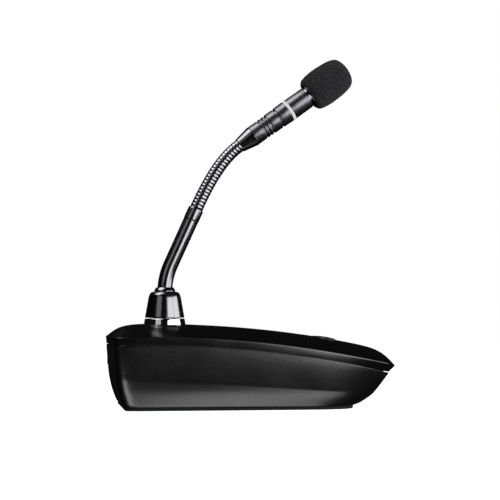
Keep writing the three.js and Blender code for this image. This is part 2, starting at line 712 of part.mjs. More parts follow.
for (let i = 1; i <= LINKS; i++) {
  const number = String(i).padStart(2, "0");
  add(`neck_link_${number}`, turned([
    ...mirrored(linkTip), [LINK.root, 0], ...[...linkTip].reverse(),
  ], 16), SMOKED_METAL, groupAt(i * LINK_LENGTH));
}

// ---- Head ----

const head = groupAt(FLEX_LENGTH);
add("upper_ferrule", turned([
  [LINK.bore, -0.4], ...mirrored(linkTip), [LINK.root, -0.2], [3, -0.2], [3.3, 0],
  [4.6, FERRULE_END - 0.6], [4.7, FERRULE_END], [1.6, FERRULE_END], [1.6, 0],
], 32), BLACK_NICKEL, head);

// The grip: plain band, two thin ribs between grooves, plain band.
add("grip_sleeve", turned([
  [GRIP.bore, GRIP.start], [4.58, GRIP.start], [4.58, 12.3], [4.1, 12.5], [4.1, 13.1],
  [4.62, 13.25], [4.62, 14.15], [4.15, 14.35], [4.15, 14.85], [4.64, 15], [4.64, 15.9],
  [4.2, 16.1], [4.2, 16.8], [4.72, 17], [4.75, GRIP.end - 0.1], [4.6, GRIP.end], [GRIP.bore, GRIP.end],
], 32), SMOKED_METAL, head);
add("lamp_holder", turned([
  [GRIP.bore, LAMP_HOLDER.start], [LAMP_HOLDER.groove, LAMP_HOLDER.start],
  [LAMP_HOLDER.groove, LAMP_HOLDER.start + 0.7], [LAMP_HOLDER.radius - 0.15, LAMP_HOLDER.start + 0.8],
  [LAMP_HOLDER.radius, LAMP_HOLDER.end], [GRIP.bore, LAMP_HOLDER.end],
], 32), SMOKED_METAL, head);
add("light_ring", turned([
  [LIGHT_RING.bore, LIGHT_RING.start], [LIGHT_RING.radius, LIGHT_RING.start],
  [LIGHT_RING.radius, LIGHT_RING.end], [LIGHT_RING.bore, LIGHT_RING.end],
], 48), FROSTED_WHITE, head);
add("capsule_housing", turned([
  [CAPSULE_TUBE.bore, CAPSULE_TUBE.start], [CAPSULE_TUBE.radius, CAPSULE_TUBE.start],
  [CAPSULE_TUBE.radius - 0.05, CAPSULE_TUBE.end], [CAPSULE_TUBE.bore, CAPSULE_TUBE.end],
], 48), SMOKED_METAL, head);
add("capsule_collar", turned([
  [CAPSULE_TUBE.bore, CAPSULE_COLLAR.start], [CAPSULE_COLLAR.neckRadius, CAPSULE_COLLAR.start],
  [CAPSULE_COLLAR.neckRadius, CAPSULE_COLLAR.neck], [CAPSULE_COLLAR.radius, CAPSULE_COLLAR.neck + 0.2],
  [CAPSULE_COLLAR.radius, CAPSULE_COLLAR.end], [CAPSULE_TUBE.bore, CAPSULE_COLLAR.end],
], 40), SOFT_BLACK, head);

// A dome of given radius, from its rim at start to its top at end: points from the rim to the axis.
function domePoints(radius, start, end, steps) {
  const straight = end - radius * 0.7;
  const arc = Array.from({ length: steps + 1 }, (_, i) => {
    const angle = (i / steps) * (Math.PI / 2);
    return [radius * Math.cos(angle), straight + (end - straight) * Math.sin(angle)];
  });
  arc[steps][0] = 0;
  return [[radius, start], ...arc];
}
add("capsule_grille", turned([
  ...domePoints(GRILLE.radius, GRILLE.start, GRILLE.end, 5),
  ...domePoints(GRILLE.radius - GRILLE.wall, GRILLE.start, GRILLE.end - GRILLE.wall, 5).reverse(),
], 24), STEEL, head);
add("capsule", peg(CAPSULE.radius, CAPSULE.start, CAPSULE.end, 0, 0, 32), STEEL, head);
add("preamp_board", block(
  [-PREAMP.halfWidth, -PREAMP.halfThickness, PREAMP.start],
  [PREAMP.halfWidth, PREAMP.halfThickness, PREAMP.end],
), BOARD_GREEN, head);
add("head_lead", peg(0.9, -0.6, 9.8, 0, 0, 10), SOFT_BLACK, head);

// The windscreen's outside, from its mouth to its tip, is one smooth curve.
const foamOutside = new THREE.SplineCurve([
  new THREE.Vector2(6.6, FOAM.mouth), new THREE.Vector2(7.9, 40.8), new THREE.Vector2(8.65, 45),
  new THREE.Vector2(8.65, 50.4), new THREE.Vector2(8.05, 55.8), new THREE.Vector2(6.6, 59),
  new THREE.Vector2(3.6, 60.5), new THREE.Vector2(0, FOAM.end),
]).getSpacedPoints(14).map(({ x, y }) => [Math.max(0, x), y]);
foamOutside[foamOutside.length - 1][0] = 0;
add("windscreen", turned([
  ...foamOutside,
  ...domePoints(FOAM.cavityRadius, FOAM.mouth, FOAM.cavityEnd, 4).reverse(),
], 32), FOAM_BLACK, head);

export default object;
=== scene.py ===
import json
import math

import bmesh
import bpy
from mathutils import Matrix, Vector


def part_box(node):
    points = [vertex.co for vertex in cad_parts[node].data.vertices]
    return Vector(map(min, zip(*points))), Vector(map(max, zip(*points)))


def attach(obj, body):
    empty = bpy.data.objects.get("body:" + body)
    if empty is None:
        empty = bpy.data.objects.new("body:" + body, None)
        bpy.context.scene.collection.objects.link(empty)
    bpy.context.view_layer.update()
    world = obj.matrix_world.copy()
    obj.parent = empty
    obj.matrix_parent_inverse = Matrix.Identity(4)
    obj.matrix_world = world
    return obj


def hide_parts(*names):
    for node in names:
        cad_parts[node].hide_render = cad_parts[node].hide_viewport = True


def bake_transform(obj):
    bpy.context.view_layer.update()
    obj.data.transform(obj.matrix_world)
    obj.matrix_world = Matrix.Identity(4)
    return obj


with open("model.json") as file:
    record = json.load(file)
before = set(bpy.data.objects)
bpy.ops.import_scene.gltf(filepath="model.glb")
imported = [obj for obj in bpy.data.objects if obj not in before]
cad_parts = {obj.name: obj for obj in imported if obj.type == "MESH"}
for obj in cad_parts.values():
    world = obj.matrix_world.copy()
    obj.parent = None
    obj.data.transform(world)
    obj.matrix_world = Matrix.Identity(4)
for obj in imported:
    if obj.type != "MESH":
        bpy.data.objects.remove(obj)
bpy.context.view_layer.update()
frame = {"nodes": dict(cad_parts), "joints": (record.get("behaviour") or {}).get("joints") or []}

joints = {joint["name"]: joint for joint in frame["joints"]}
mm = 0.001  # sizes below are millimetres, and meshes are made in metres
print("stage: frame loaded,", len(frame["nodes"]), "nodes")


studio = {
    "cameraPlace": (-94.1, -661.2, 40.5),
    "cameraTurn": 8.177,  # degrees to the object's front from straight on
    "cameraPitch": 2.526,
    "lens": 106.92,
    "floorRadius": 2500,
    "backdrop": 1.0,
    "ambient": 0.005,
    "aim": (0, 0, 70),
    "softboxes": {  # bearing to the right of the camera, elevation, distance, width, tall, brightness
        "keySoftbox": (38.5, 6.3, 600, 437, 400, 2.85),
        "sideSoftbox": (81, 6.7, 600, 437, 390, 2.85),
        "overheadSoftbox": (-70, 58, 700, 500, 500, 3.1),
        "fillSoftbox": (-37, 17, 750, 370, 330, 0.5),
        "tableGlow": (6, -60, 325, 260, 130, 0.28),
        "frontGlow": (25, -64, 330, 160, 160, 1.4),
        "tableStreak": (-24, -46, 384, 70, 240, 3.2),
        "rearFill": (-152, 32, 800, 360, 420, 0.05),
    },
}


def fromHex(code):
    # sRGB hex to the linear colour that Blender's shaders use
    channels = [int(code[i:i + 2], 16) / 255 for i in (0, 2, 4)]
    linear = [c / 12.92 if c <= 0.04045 else ((c + 0.055) / 1.055) ** 2.4 for c in channels]
    return (*linear, 1.0)


def addNode(tree, kind, inputs=None, **settings):
    node = tree.nodes.new(kind)
    for key, value in settings.items():
        setattr(node, key, value)
    for socket, value in (inputs or {}).items():
        if isinstance(value, bpy.types.NodeSocket):
            tree.links.new(value, node.inputs[socket])
        else:
            node.inputs[socket].default_value = value
    return node


def link(thing):
    bpy.context.scene.collection.objects.link(thing)
    return thing


def makeCamera():
    camera = link(bpy.data.objects.new("camera", bpy.data.cameras.new("camera")))
    camera.data.lens = studio["lens"]
    camera.data.sensor_width = 36
    camera.data.clip_start = 0.01
    camera.data.clip_end = 20
    camera.location = Vector(studio["cameraPlace"]) * mm
    tilt = math.radians(90 + studio["cameraPitch"])
    camera.rotation_euler = (tilt, 0, -math.radians(studio["cameraTurn"]))
    bpy.context.scene.camera = camera


def makeSoftbox(name, bearing, elevation, distance, width, tall, brightness):
    # bearing 0 is where the camera stands, and it grows towards the object's front
    around = math.radians(-90 - studio["cameraTurn"] + bearing)
    above = math.radians(elevation)
    lamp = bpy.data.lights.new(name, "AREA")
    lamp.shape = "RECTANGLE"
    lamp.size = width * mm
    lamp.size_y = tall * mm
    lamp.energy = brightness * math.pi * lamp.size * lamp.size_y
    softbox = link(bpy.data.objects.new(name, lamp))
    level = math.cos(above)
    outward = Vector((math.cos(around) * level, math.sin(around) * level, math.sin(above)))
    softbox.location = (Vector(studio["aim"]) + outward * distance) * mm
    softbox.rotation_euler = (-outward).to_track_quat("-Z", "Y").to_euler()
    softbox.visible_camera = False


def makeFloor():
    floor = newPiece("floor", *discMesh(studio["floorRadius"]))
    material, tree, shader, where = newMaterial("paleFloorPaper")
    shader.inputs["Base Color"].default_value = fromHex("f4f4f4")
    shader.inputs["Roughness"].default_value = 0.7
    shader.inputs["Emission Color"].default_value = (1, 1, 1, 1)
    shader.inputs["Emission Strength"].default_value = 1.0
    floor.data.materials.append(material)
    # a glowing table that the black surfaces don't mirror
    floor.visible_glossy = False
    floor.visible_diffuse = False
    floor.visible_shadow = False


def discMesh(radius, sides=96):
    ring = [(radius * math.cos(2 * math.pi * i / sides), radius * math.sin(2 * math.pi * i / sides), 0)
            for i in range(sides)]
    return ring, [tuple(range(sides))]


def makeWorld():
    # white behind the object, and almost dark for everything that reflects it
    world = bpy.data.worlds.new("studioWorld")
    bpy.context.scene.world = world
    world.use_nodes = True
    tree = world.node_tree
    tree.nodes.clear()
    white = addNode(tree, "ShaderNodeBackground", {"Color": (1, 1, 1, 1), "Strength": studio["backdrop"]})
    dark = addNode(tree, "ShaderNodeBackground", {"Color": (1, 1, 1, 1), "Strength": studio["ambient"]})
    path = addNode(tree, "ShaderNodeLightPath")
    mixed = addNode(tree, "ShaderNodeMixShader", {
        0: path.outputs["Is Camera Ray"], 1: dark.outputs[0], 2: white.outputs[0]})
    addNode(tree, "ShaderNodeOutputWorld", {"Surface": mixed.outputs[0]})
    bpy.context.scene.view_settings.view_transform = "Standard"


def newPiece(name, vertices, faces, material=None, sharpAngle=32, uvs=None):
    mesh = bpy.data.meshes.new(name)
    mesh.from_pydata([Vector(v) * mm for v in vertices], [], faces)
    if uvs:
        layer = mesh.uv_layers.new(name="surface")
        for loop in mesh.loops:
            layer.data[loop.index].uv = uvs[loop.vertex_index]
    return finishMesh(name, mesh, material, sharpAngle)


def finishMesh(name, mesh, material=None, sharpAngle=32):
    shape = bmesh.new()
    shape.from_mesh(mesh)
    bmesh.ops.remove_doubles(shape, verts=shape.verts, dist=1e-7)
    bmesh.ops.recalc_face_normals(shape, faces=shape.faces)
    shape.to_mesh(mesh)
    shape.free()
    mesh.name = name
    mesh.shade_smooth()
    mesh.set_sharp_from_angle(angle=math.radians(sharpAngle))
    if material and not mesh.materials:
        mesh.materials.append(material)
    return link(bpy.data.objects.new(name, mesh))


def cutAndJoin(piece, cuts, joins=()):
    # solid cuts and joins, kept as a plain mesh
    for other in (*joins, *cuts):
        modifier = piece.modifiers.new("solid", "BOOLEAN")
        modifier.operation = "UNION" if other in joins else "DIFFERENCE"
        modifier.solver = "EXACT"
        modifier.object = other
    evaluated = piece.evaluated_get(bpy.context.evaluated_depsgraph_get())
    mesh = bpy.data.meshes.new_from_object(evaluated)
    name, materials = piece.name, list(piece.data.materials)
    for other in (piece, *cuts, *joins):
        bpy.data.objects.remove(other)
    mesh.materials.clear()
    for material in materials:
        mesh.materials.append(material)
    for polygon in mesh.polygons:
        polygon.material_index = 0
    return finishMesh(name, mesh)


def arcCorner(before, corner, after, reach, steps=5):
    # points that round a corner, from `reach` before it to `reach` after it
    before, corner, after = Vector(before), Vector(corner), Vector(after)
    a = corner + (before - corner).normalized() * min(reach, 0.48 * (before - corner).length)
    b = corner + (after - corner).normalized() * min(reach, 0.48 * (after - corner).length)
    points = []
    for i in range(steps + 1):
        t = i / steps
        points.append(a * (1 - t) ** 2 + corner * 2 * t * (1 - t) + b * t * t)
    return points


def roundedLoop(corners):
    # corners are (radius, height) or (radius, height, rounding)
    points = []
    count = len(corners)
    for i, corner in enumerate(corners):
        spot = Vector(corner[:2])
        if len(corner) < 3:
            points.append(spot)
        else:
            points += arcCorner(corners[i - 1][:2], spot, corners[(i + 1) % count][:2], corner[2], 4)
    return points


def turned(name, corners, stand=Matrix(), material=None, sides=96, sharpAngle=32):
    # a piece turned about the Z of its stand; the UV map holds millimetres round and along the surface
    uvRadius = 5  # the map is true to size on this radius
    profile = roundedLoop(corners)
    along = [0.0]
    for a, b in zip(profile, profile[1:]):
        along.append(along[-1] + (b - a).length)
    vertices, uvs, rows = [], [], []
    for point, distance in zip(profile, along):
        radius, height = point
        if radius < 1e-6:
            rows.append([len(vertices)] * sides)
            vertices.append(stand @ Vector((0, 0, height)))
            uvs.append((0, distance))
            continue
        rows.append(list(range(len(vertices), len(vertices) + sides)))
        for i in range(sides):
            turn = 2 * math.pi * i / sides
            vertices.append(stand @ Vector((radius * math.cos(turn), radius * math.sin(turn), height)))
            uvs.append((turn * uvRadius, distance))
    faces = []
    for upper, lower in zip(rows, rows[1:] + rows[:1]):
        for i in range(sides):
            j = (i + 1) % sides
            corner = list(dict.fromkeys((upper[i], upper[j], lower[j], lower[i])))
            if len(corner) > 2:
                faces.append(corner)
    return newPiece(name, vertices, faces, material, sharpAngle, uvs)


def loft(name, sections, material, poles):
    # sections is one list of points per step round the piece; the poles close its two ends
    count, rows = len(sections), len(sections[0])
    vertices = [point for section in sections for point in section]
    faces = []
    for j in range(count):
        k = (j + 1) % count
        for i in range(rows - 1):
            faces.append((j * rows + i, k * rows + i, k * rows + i + 1, j * rows + i + 1))
    for pole, row in zip(poles, (0, rows - 1)):
        vertices.append(pole)
        last = len(vertices) - 1
        for j in range(count):
            faces.append((j * rows + row, (j + 1) % count * rows + row, last))
    return newPiece(name, vertices, faces, material)


def prism(outline, low, high):
    # an upright cutter or post on an outline
    count = len(outline)
    vertices = [(x, y, low) for x, y in outline] + [(x, y, high) for x, y in outline]
    faces = [tuple(range(count)), tuple(range(count, 2 * count))]
    faces += [(i, (i + 1) % count, count + (i + 1) % count, count + i) for i in range(count)]
    return vertices, faces


def merged(name, shapes):
    # several separate shapes in one mesh
    vertices, faces = [], []
    for shapeVertices, shapeFaces in shapes:
        start = len(vertices)
        vertices += shapeVertices
        faces += [tuple(start + i for i in face) for face in shapeFaces]
    return newPiece(name, vertices, faces)


def circle(x, y, radius, sides=48):
    return [(x + radius * math.cos(2 * math.pi * i / sides), y + radius * math.sin(2 * math.pi * i / sides))
            for i in range(sides)]


def stadium(x, long, wide, turns=20):
    # a bar with round ends, long across the case
    radius, reach = wide / 2, (long - wide) / 2
    points = []
    for side, start in ((1, 0), (-1, math.pi)):
        for i in range(turns + 1):
            angle = start + math.pi * i / turns
            points.append((x + radius * math.cos(angle), side * reach + radius * math.sin(angle)))
    return points


def rectangle(low, high):
    return [(low[0], low[1]), (high[0], low[1]), (high[0], high[1]), (low[0], high[1])]


def newTree(name, inputs):
    tree = bpy.data.node_groups.new(name, "GeometryNodeTree")
    tree.interface.new_socket(name="Geometry", in_out="INPUT", socket_type="NodeSocketGeometry")
    tree.interface.new_socket(name="Geometry", in_out="OUTPUT", socket_type="NodeSocketGeometry")
    for label, kind in inputs.items():
        tree.interface.new_socket(name=label, in_out="INPUT", socket_type="NodeSocket" + kind)
    return tree, tree.nodes.new("NodeGroupInput").outputs


def endTree(tree, geometry, material):
    real = addNode(tree, "GeometryNodeRealizeInstances", {"Geometry": geometry})
    dressed = addNode(tree, "GeometryNodeSetMaterial", {"Geometry": real.outputs[0], "Material": material})
    addNode(tree, "NodeGroupOutput", {"Geometry": dressed.outputs[0]})


def grow(name, base, tree, values, sharpAngle=32):
    # runs a tree on a base object and keeps the result as a plain mesh
    modifier = base.modifiers.new(tree.name, "NODES")
    modifier.node_group = tree
    for item in tree.interface.items_tree:
        if item.in_out == "INPUT" and item.name in values:
            modifier[item.identifier] = values[item.name]
    evaluated = base.evaluated_get(bpy.context.evaluated_depsgraph_get())
    mesh = bpy.data.meshes.new_from_object(evaluated)
    bpy.data.objects.remove(base)
    return finishMesh(name, mesh, None, sharpAngle)


def place(piece, body, slot, *nodes):
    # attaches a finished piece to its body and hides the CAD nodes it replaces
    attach(piece, body)
    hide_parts(*nodes)


def newMaterial(name):
    material = bpy.data.materials.new(name)
    material.use_nodes = True
    tree = material.node_tree
    tree.nodes.clear()
    shader = addNode(tree, "ShaderNodeBsdfPrincipled")
    addNode(tree, "ShaderNodeOutputMaterial", {"Surface": shader.outputs["BSDF"]})
    coordinates = addNode(tree, "ShaderNodeTexCoord")
    return material, tree, shader, coordinates.outputs["Object"]


def scaleFor(size):
    # texture scale on object coordinates for a feature of this many millimetres
    return 1 / (size * mm)


def speckle(tree, where, size, detail=2.0, roughness=0.5):
    return addNode(tree, "ShaderNodeTexNoise", {
        "Vector": where, "Scale": scaleFor(size), "Detail": detail, "Roughness": roughness}).outputs[0]


def spread(tree, value, low, high, fromLow=0.3, fromHigh=0.7):
    return addNode(tree, "ShaderNodeMapRange", {
        "Value": value, "From Min": fromLow, "From Max": fromHigh, "To Min": low, "To Max": high}).outputs[0]


def addBump(tree, shader, height, strength, depth):
    bump = addNode(tree, "ShaderNodeBump", {"Height": height, "Strength": strength, "Distance": depth * mm})
    tree.links.new(bump.outputs[0], shader.inputs["Normal"])


def twoTone(tree, shader, value, dark, light):
    mixed = addNode(tree, "ShaderNodeMix", {"Factor": value}, data_type="RGBA")
    mixed.inputs[6].default_value = fromHex(dark)
    mixed.inputs[7].default_value = fromHex(light)
    tree.links.new(mixed.outputs[2], shader.inputs["Base Color"])


def makeMouldedAbs(name, dark, light, roughness, grain, depth):
    # ABS from a spark-eroded tool: an even fine grain that spreads the highlights into soft bands
    material, tree, shader, where = newMaterial(name)
    twoTone(tree, shader, speckle(tree, where, 30), dark, light)
    sheen = spread(tree, speckle(tree, where, 14, 4), roughness - 0.03, roughness + 0.03)
    tree.links.new(sheen, shader.inputs["Roughness"])
    shader.inputs["IOR"].default_value = 1.53
    shader.inputs["Specular IOR Level"].default_value = 0.95  # a glossy tool gives it a strong shine
    addBump(tree, shader, speckle(tree, where, grain, 3, 0.6), 0.5, depth)
    return material


def makeBlackNickel():
    # polished brass under black nickel: a dark mirror, with the faint waviness of the polishing wheel
    material, tree, shader, where = newMaterial("blackNickelPlate")
    shader.inputs["Metallic"].default_value = 1.0
    twoTone(tree, shader, speckle(tree, where, 12), "838388", "8e8e92")
    tree.links.new(spread(tree, speckle(tree, where, 3, 3), 0.15, 0.2), shader.inputs["Roughness"])
    addBump(tree, shader, speckle(tree, where, 2.4, 1), 0.08, 0.003)
    return material


def makeAnodised():
    # aluminium turned on a lathe and anodised black: fine rings that draw the highlight out
    material, tree, shader, where = newMaterial("blackAnodisedAluminium")
    shader.inputs["Metallic"].default_value = 1.0
    surface = addNode(tree, "ShaderNodeTexCoord").outputs["UV"]
    stretched = addNode(tree, "ShaderNodeMapping", {"Vector": surface, "Scale": (0.04, 5.0, 1)})
    rings = addNode(tree, "ShaderNodeTexNoise", {
        "Vector": stretched.outputs[0], "Scale": 1.0, "Detail": 3, "Roughness": 0.7}).outputs[0]
    twoTone(tree, shader, speckle(tree, where, 5), "727277", "7f7f83")
    tree.links.new(spread(tree, rings, 0.28, 0.36), shader.inputs["Roughness"])
    addBump(tree, shader, rings, 0.15, 0.006)
    return material


def makeConduitSteel():
    # spring-wound steel with a black oxide skin, rubbed brighter where hands bend it
    material, tree, shader, where = newMaterial("blackOxideSteel")
    shader.inputs["Metallic"].default_value = 1.0
    twoTone(tree, shader, speckle(tree, where, 1.5, 3), "8b8b90", "9c9ca1")
    tree.links.new(spread(tree, speckle(tree, where, 0.8, 3), 0.15, 0.22), shader.inputs["Roughness"])
    addBump(tree, shader, speckle(tree, where, 0.3), 0.2, 0.006)
    return material


def makeChrome():
    # bright chrome plate: a mirror with the slightest haze
    material, tree, shader, where = newMaterial("brightChromePlate")
    shader.inputs["Metallic"].default_value = 1.0
    twoTone(tree, shader, speckle(tree, where, 6), "e3e4e6", "eeeeef")
    tree.links.new(spread(tree, speckle(tree, where, 2.5, 3), 0.03, 0.08), shader.inputs["Roughness"])
    return material


def makeMetal(name, dark, light, roughness, grain):
    # plain plated sheet or turned metal with a soft uneven shine
    material, tree, shader, where = newMaterial(name)
    shader.inputs["Metallic"].default_value = 1.0
    twoTone(tree, shader, speckle(tree, where, grain * 8, 3), dark, light)
    shine = spread(tree, speckle(tree, where, grain * 3, 4), roughness - 0.06, roughness + 0.1)
    tree.links.new(shine, shader.inputs["Roughness"])
    addBump(tree, shader, speckle(tree, where, grain, 3), 0.3, 0.01)
    return material


def makeRubber(name, dark, light, pebble):
    # moulded rubber: matt, with a pebbled skin
    material, tree, shader, where = newMaterial(name)
    pebbles = addNode(tree, "ShaderNodeTexVoronoi", {"Vector": where, "Scale": scaleFor(pebble)})
    cells = pebbles.outputs["Distance"]
    twoTone(tree, shader, speckle(tree, where, pebble * 6, 3), dark, light)
    tree.links.new(spread(tree, cells, 0.72, 0.88), shader.inputs["Roughness"])
    shader.inputs["Specular IOR Level"].default_value = 0.35
    addBump(tree, shader, cells, 0.5, 0.05)
    return material


def makeDiffuser():
    # frosted polycarbonate, milky right through
    material, tree, shader, where = newMaterial("frostedPolycarbonate")
    twoTone(tree, shader, speckle(tree, where, 4, 3), "cacac8", "d6d6d4")
    tree.links.new(spread(tree, speckle(tree, where, 0.5, 3), 0.32, 0.46), shader.inputs["Roughness"])
    shader.inputs["Emission Color"].default_value = (1, 1, 1, 1)
    shader.inputs["Emission Strength"].default_value = 0.3  # painted glow: an even self-glow that brightens the unlit ring, not lamps behind it
    shader.inputs["Subsurface Weight"].default_value = 0.15
    shader.inputs["Subsurface Radius"].default_value = (1, 1, 1)
    shader.inputs["Subsurface Scale"].default_value = 0.4 * mm
    return material


def makeDarkAcrylic(name, dark, light):
    # polished acrylic, dyed so dark that it looks black until a lamp shines through it
    material, tree, shader, where = newMaterial(name)
    twoTone(tree, shader, speckle(tree, where, 6), dark, light)
    tree.links.new(spread(tree, speckle(tree, where, 2), 0.05, 0.1), shader.inputs["Roughness"])
    shader.inputs["IOR"].default_value = 1.49
    return material


def makeCircuitBoard():
    # green solder mask over copper tracks 0.4 mm wide
    material, tree, shader, where = newMaterial("greenSolderMask")
    tracks = addNode(tree, "ShaderNodeTexBrick", {
        "Vector": where, "Scale": scaleFor(6), "Mortar Size": 0.06, "Color1": fromHex("0d3b20"),
        "Color2": fromHex("10472a"), "Mortar": fromHex("2b6b3f")})
    tree.links.new(tracks.outputs["Color"], shader.inputs["Base Color"])
    tree.links.new(spread(tree, speckle(tree, where, 5, 3), 0.3, 0.45), shader.inputs["Roughness"])
    addBump(tree, shader, tracks.outputs["Fac"], 0.4, 0.03)
    return material


def makeBatterySleeve():
    # thin shrink film over the cells, slightly wrinkled
    material, tree, shader, where = newMaterial("shrinkFilm")
    twoTone(tree, shader, speckle(tree, where, 16, 2), "2c3036", "3a3f47")
    tree.links.new(spread(tree, speckle(tree, where, 6, 3), 0.22, 0.38), shader.inputs["Roughness"])
    addBump(tree, shader, speckle(tree, where, 4, 4), 0.4, 0.2)
    return material


def makeFoam():
    # open-cell polyurethane foam: torn cell walls about 0.5 mm across catch the light one by one
    material, tree, shader, where = newMaterial("openCellFoam")
    cells = addNode(tree, "ShaderNodeTexVoronoi", {"Vector": where, "Scale": scaleFor(0.55)})
    grain = speckle(tree, where, 0.45, 4, 0.7)
    rough = addNode(tree, "ShaderNodeMath", {0: cells.outputs["Distance"], 1: grain}, operation="MULTIPLY")
    twoTone(tree, shader, spread(tree, rough.outputs[0], 0, 1, 0.08, 0.42), "424245", "171718")
    shader.inputs["Roughness"].default_value = 1.0
    shader.inputs["Specular IOR Level"].default_value = 0.15
    shader.inputs["Sheen Weight"].default_value = 0.05
    shader.inputs["Sheen Roughness"].default_value = 0.6
    addBump(tree, shader, rough.outputs[0], 0.8, 0.25)
    return material


finish = {
    "cover": makeMouldedAbs("coverAbs", "09090a", "0c0c0d", 0.2, 0.5, 0.003),
    "housing": makeMouldedAbs("housingAbs", "0b0b0c", "0f0f10", 0.27, 0.6, 0.008),
    "button": makeMouldedAbs("buttonAbs", "0d0d0e", "121213", 0.45, 0.4, 0.015),
    "moulding": makeMouldedAbs("innerMoulding", "101010", "181818", 0.6, 0.8, 0.03),
    "nickel": makeBlackNickel(),
    "anodised": makeAnodised(),
    "conduit": makeConduitSteel(),
    "chrome": makeChrome(),
    "zinc": makeMetal("zincPlate", "9b9ea3", "b4b6ba", 0.3, 0.5),
    "gold": makeMetal("goldFlash", "c9a045", "dcb860", 0.2, 0.4),
    "rubber": makeRubber("padRubber", "121212", "1a1a1a", 0.7),
    "jacket": makeRubber("cableJacket", "101011", "161617", 0.4),
    "diffuser": makeDiffuser(),
    "infrared": makeDarkAcrylic("infraredAcrylic", "16040a", "220408"),
    "lens": makeDarkAcrylic("smokedAcrylic", "060606", "0a0a0b"),
    "board": makeCircuitBoard(),
    "battery": makeBatterySleeve(),
    "foam": makeFoam(),
}
print("stage: materials made")


rimLow, rimHigh = (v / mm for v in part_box("top_cover"))
seamLow, seamHigh = (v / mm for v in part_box("lower_housing"))
padLow, padHigh = (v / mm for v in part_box("base_pad"))

case = {
    "widestX": 2.0,
    "squareness": (24, 5.0),  # superellipse exponents, rear and front
    "steps": 300,
    # outlines seen from above: rear end, front end, half width
    "rim": (rimLow.x, rimHigh.x, rimHigh.y),
    "seam": (seamLow.x, seamHigh.x, seamHigh.y),
    "belly": (-61.5, 57.0, 37.3),
    "crease": (-60.8, 53.1, 36.4),
    "flank": (-59.7, 50.8, 34.75),
    "heel": (-57.8, 47.8, 32.2),
    "sole": (padLow.x - 0.3, padHigh.x + 0.3, padHigh.y + 0.3),
    # heights from rear to front, each the four control points of a cubic
    "rimHeights": (31.1, 32.6, 28.2, 18.3),
    "seamHeights": (27.5, 28.8, 24.0, 14.8),
    "creaseHeights": (13.2, 13.0, 9.6, 5.2),
    "ridgeHeights": (36.8, 37.6, 34.8, 24.6),
    "rounding": (14, 22, 0.8),  # how late the crown falls away, rear and front, and its power
    "heelZ": 2.4,
    "soleZ": 1.4,
    "floorZ": 3.4,
    "seamGap": 0.5,
    "coverWall": 2.0,
    "housingWall": 3.2,
    "lip": (2.2, 1.8),  # how far in the lip stands, and how far it rises into the cover
    "rimEdge": 0.7,
    "creaseEdge": 1.0,
    "posts": ((-46, 27), (-46, -27), (28, 27.5), (28, -27.5)),
    "gap": 0.3,
}


def heightCurve(controls):
    low, high = case["rim"][0], case["rim"][1]

    def height(x, y=0):
        t = (x - low) / (high - low)
        u = 1 - t
        a, b, c, d = controls
        return u ** 3 * a + 3 * u * u * t * b + 3 * u * t * t * c + t ** 3 * d
    return height


rimZ = heightCurve(case["rimHeights"])
seamZ = heightCurve(case["seamHeights"])
creaseZ = heightCurve(case["creaseHeights"])
ridgeZ = heightCurve(case["ridgeHeights"])


def outline(ends, inset=0.0, share=1.0):
    # points round a superellipse that is squarer at the rear, spaced half by length and half by turning
    rear, front, half = ends
    middle = case["widestX"]
    fine = 2400
    points = []
    for i in range(fine + 1):
        angle = 2 * math.pi * i / fine
        c, s = math.cos(angle), math.sin(angle)
        reach = front - middle - inset if c >= 0 else middle - rear - inset
        power = case["squareness"][1 if c >= 0 else 0]
        radius = (abs(c / reach) ** power + abs(s / (half - inset)) ** power) ** (-1 / power)
        points.append((middle + share * radius * c, share * radius * s))
    steps = [Vector(after) - Vector(before) for before, after in zip(points, points[1:])]
    turns = [steps[i - 1].angle(steps[i]) for i in range(fine)]
    length, turning = sum(step.length for step in steps), sum(turns)
    reached = [0.0]
    for step, turn in zip(steps, turns):
        reached.append(reached[-1] + (step.length / length + turn / turning) / 2)
    spaced, k = [], 0
    for i in range(case["steps"]):
        target = i / case["steps"]
        while reached[k + 1] < target:
            k += 1
        t = (target - reached[k]) / (reached[k + 1] - reached[k])
        (ax, ay), (bx, by) = points[k], points[k + 1]
        spaced.append((ax + (bx - ax) * t, ay + (by - ay) * t))
    return spaced


def crownZ(x, y):
    # the crown: domed across the case, and rounded down to the rim at both ends
    rear, front, half = case["rim"]
    middle = case["widestX"]
    isFront = x >= middle
    reach = front - middle if isFront else middle - rear
    share = min(1.0, abs(x - middle) / reach)
    power = case["squareness"][1 if isFront else 0]
    width = half * (1 - share ** power) ** (1 / power)
    rearPower, frontPower, last = case["rounding"]
    along = (1 - share ** (frontPower if isFront else rearPower)) ** last
    across = max(0.0, 1 - (y / width) ** 2) if width > 1e-3 else 0.0
    return rimZ(x) + (ridgeZ(x) - rimZ(x)) * along * across


def sectionsThrough(levels):
    # levels run from one pole to the other: (outline points, height, rounding)
    heights = [[(x, y, height(x, y)) for x, y in points] for points, height, rounding in levels]
    sections = []
    for j in range(case["steps"]):
        section = []
        for i, (points, height, rounding) in enumerate(levels):
            spot = Vector(heights[i][j])
            if rounding and 0 < i < len(levels) - 1:
                section += arcCorner(heights[i - 1][j], spot, heights[i + 1][j], rounding, 5)
            else:
                section.append(spot)
        sections.append(section)
    return sections


def crownLevels(shares, inset, drop):
    return [(outline(case["rim"], inset, share), lambda x, y: crownZ(x, y) - drop, 0) for share in shares]


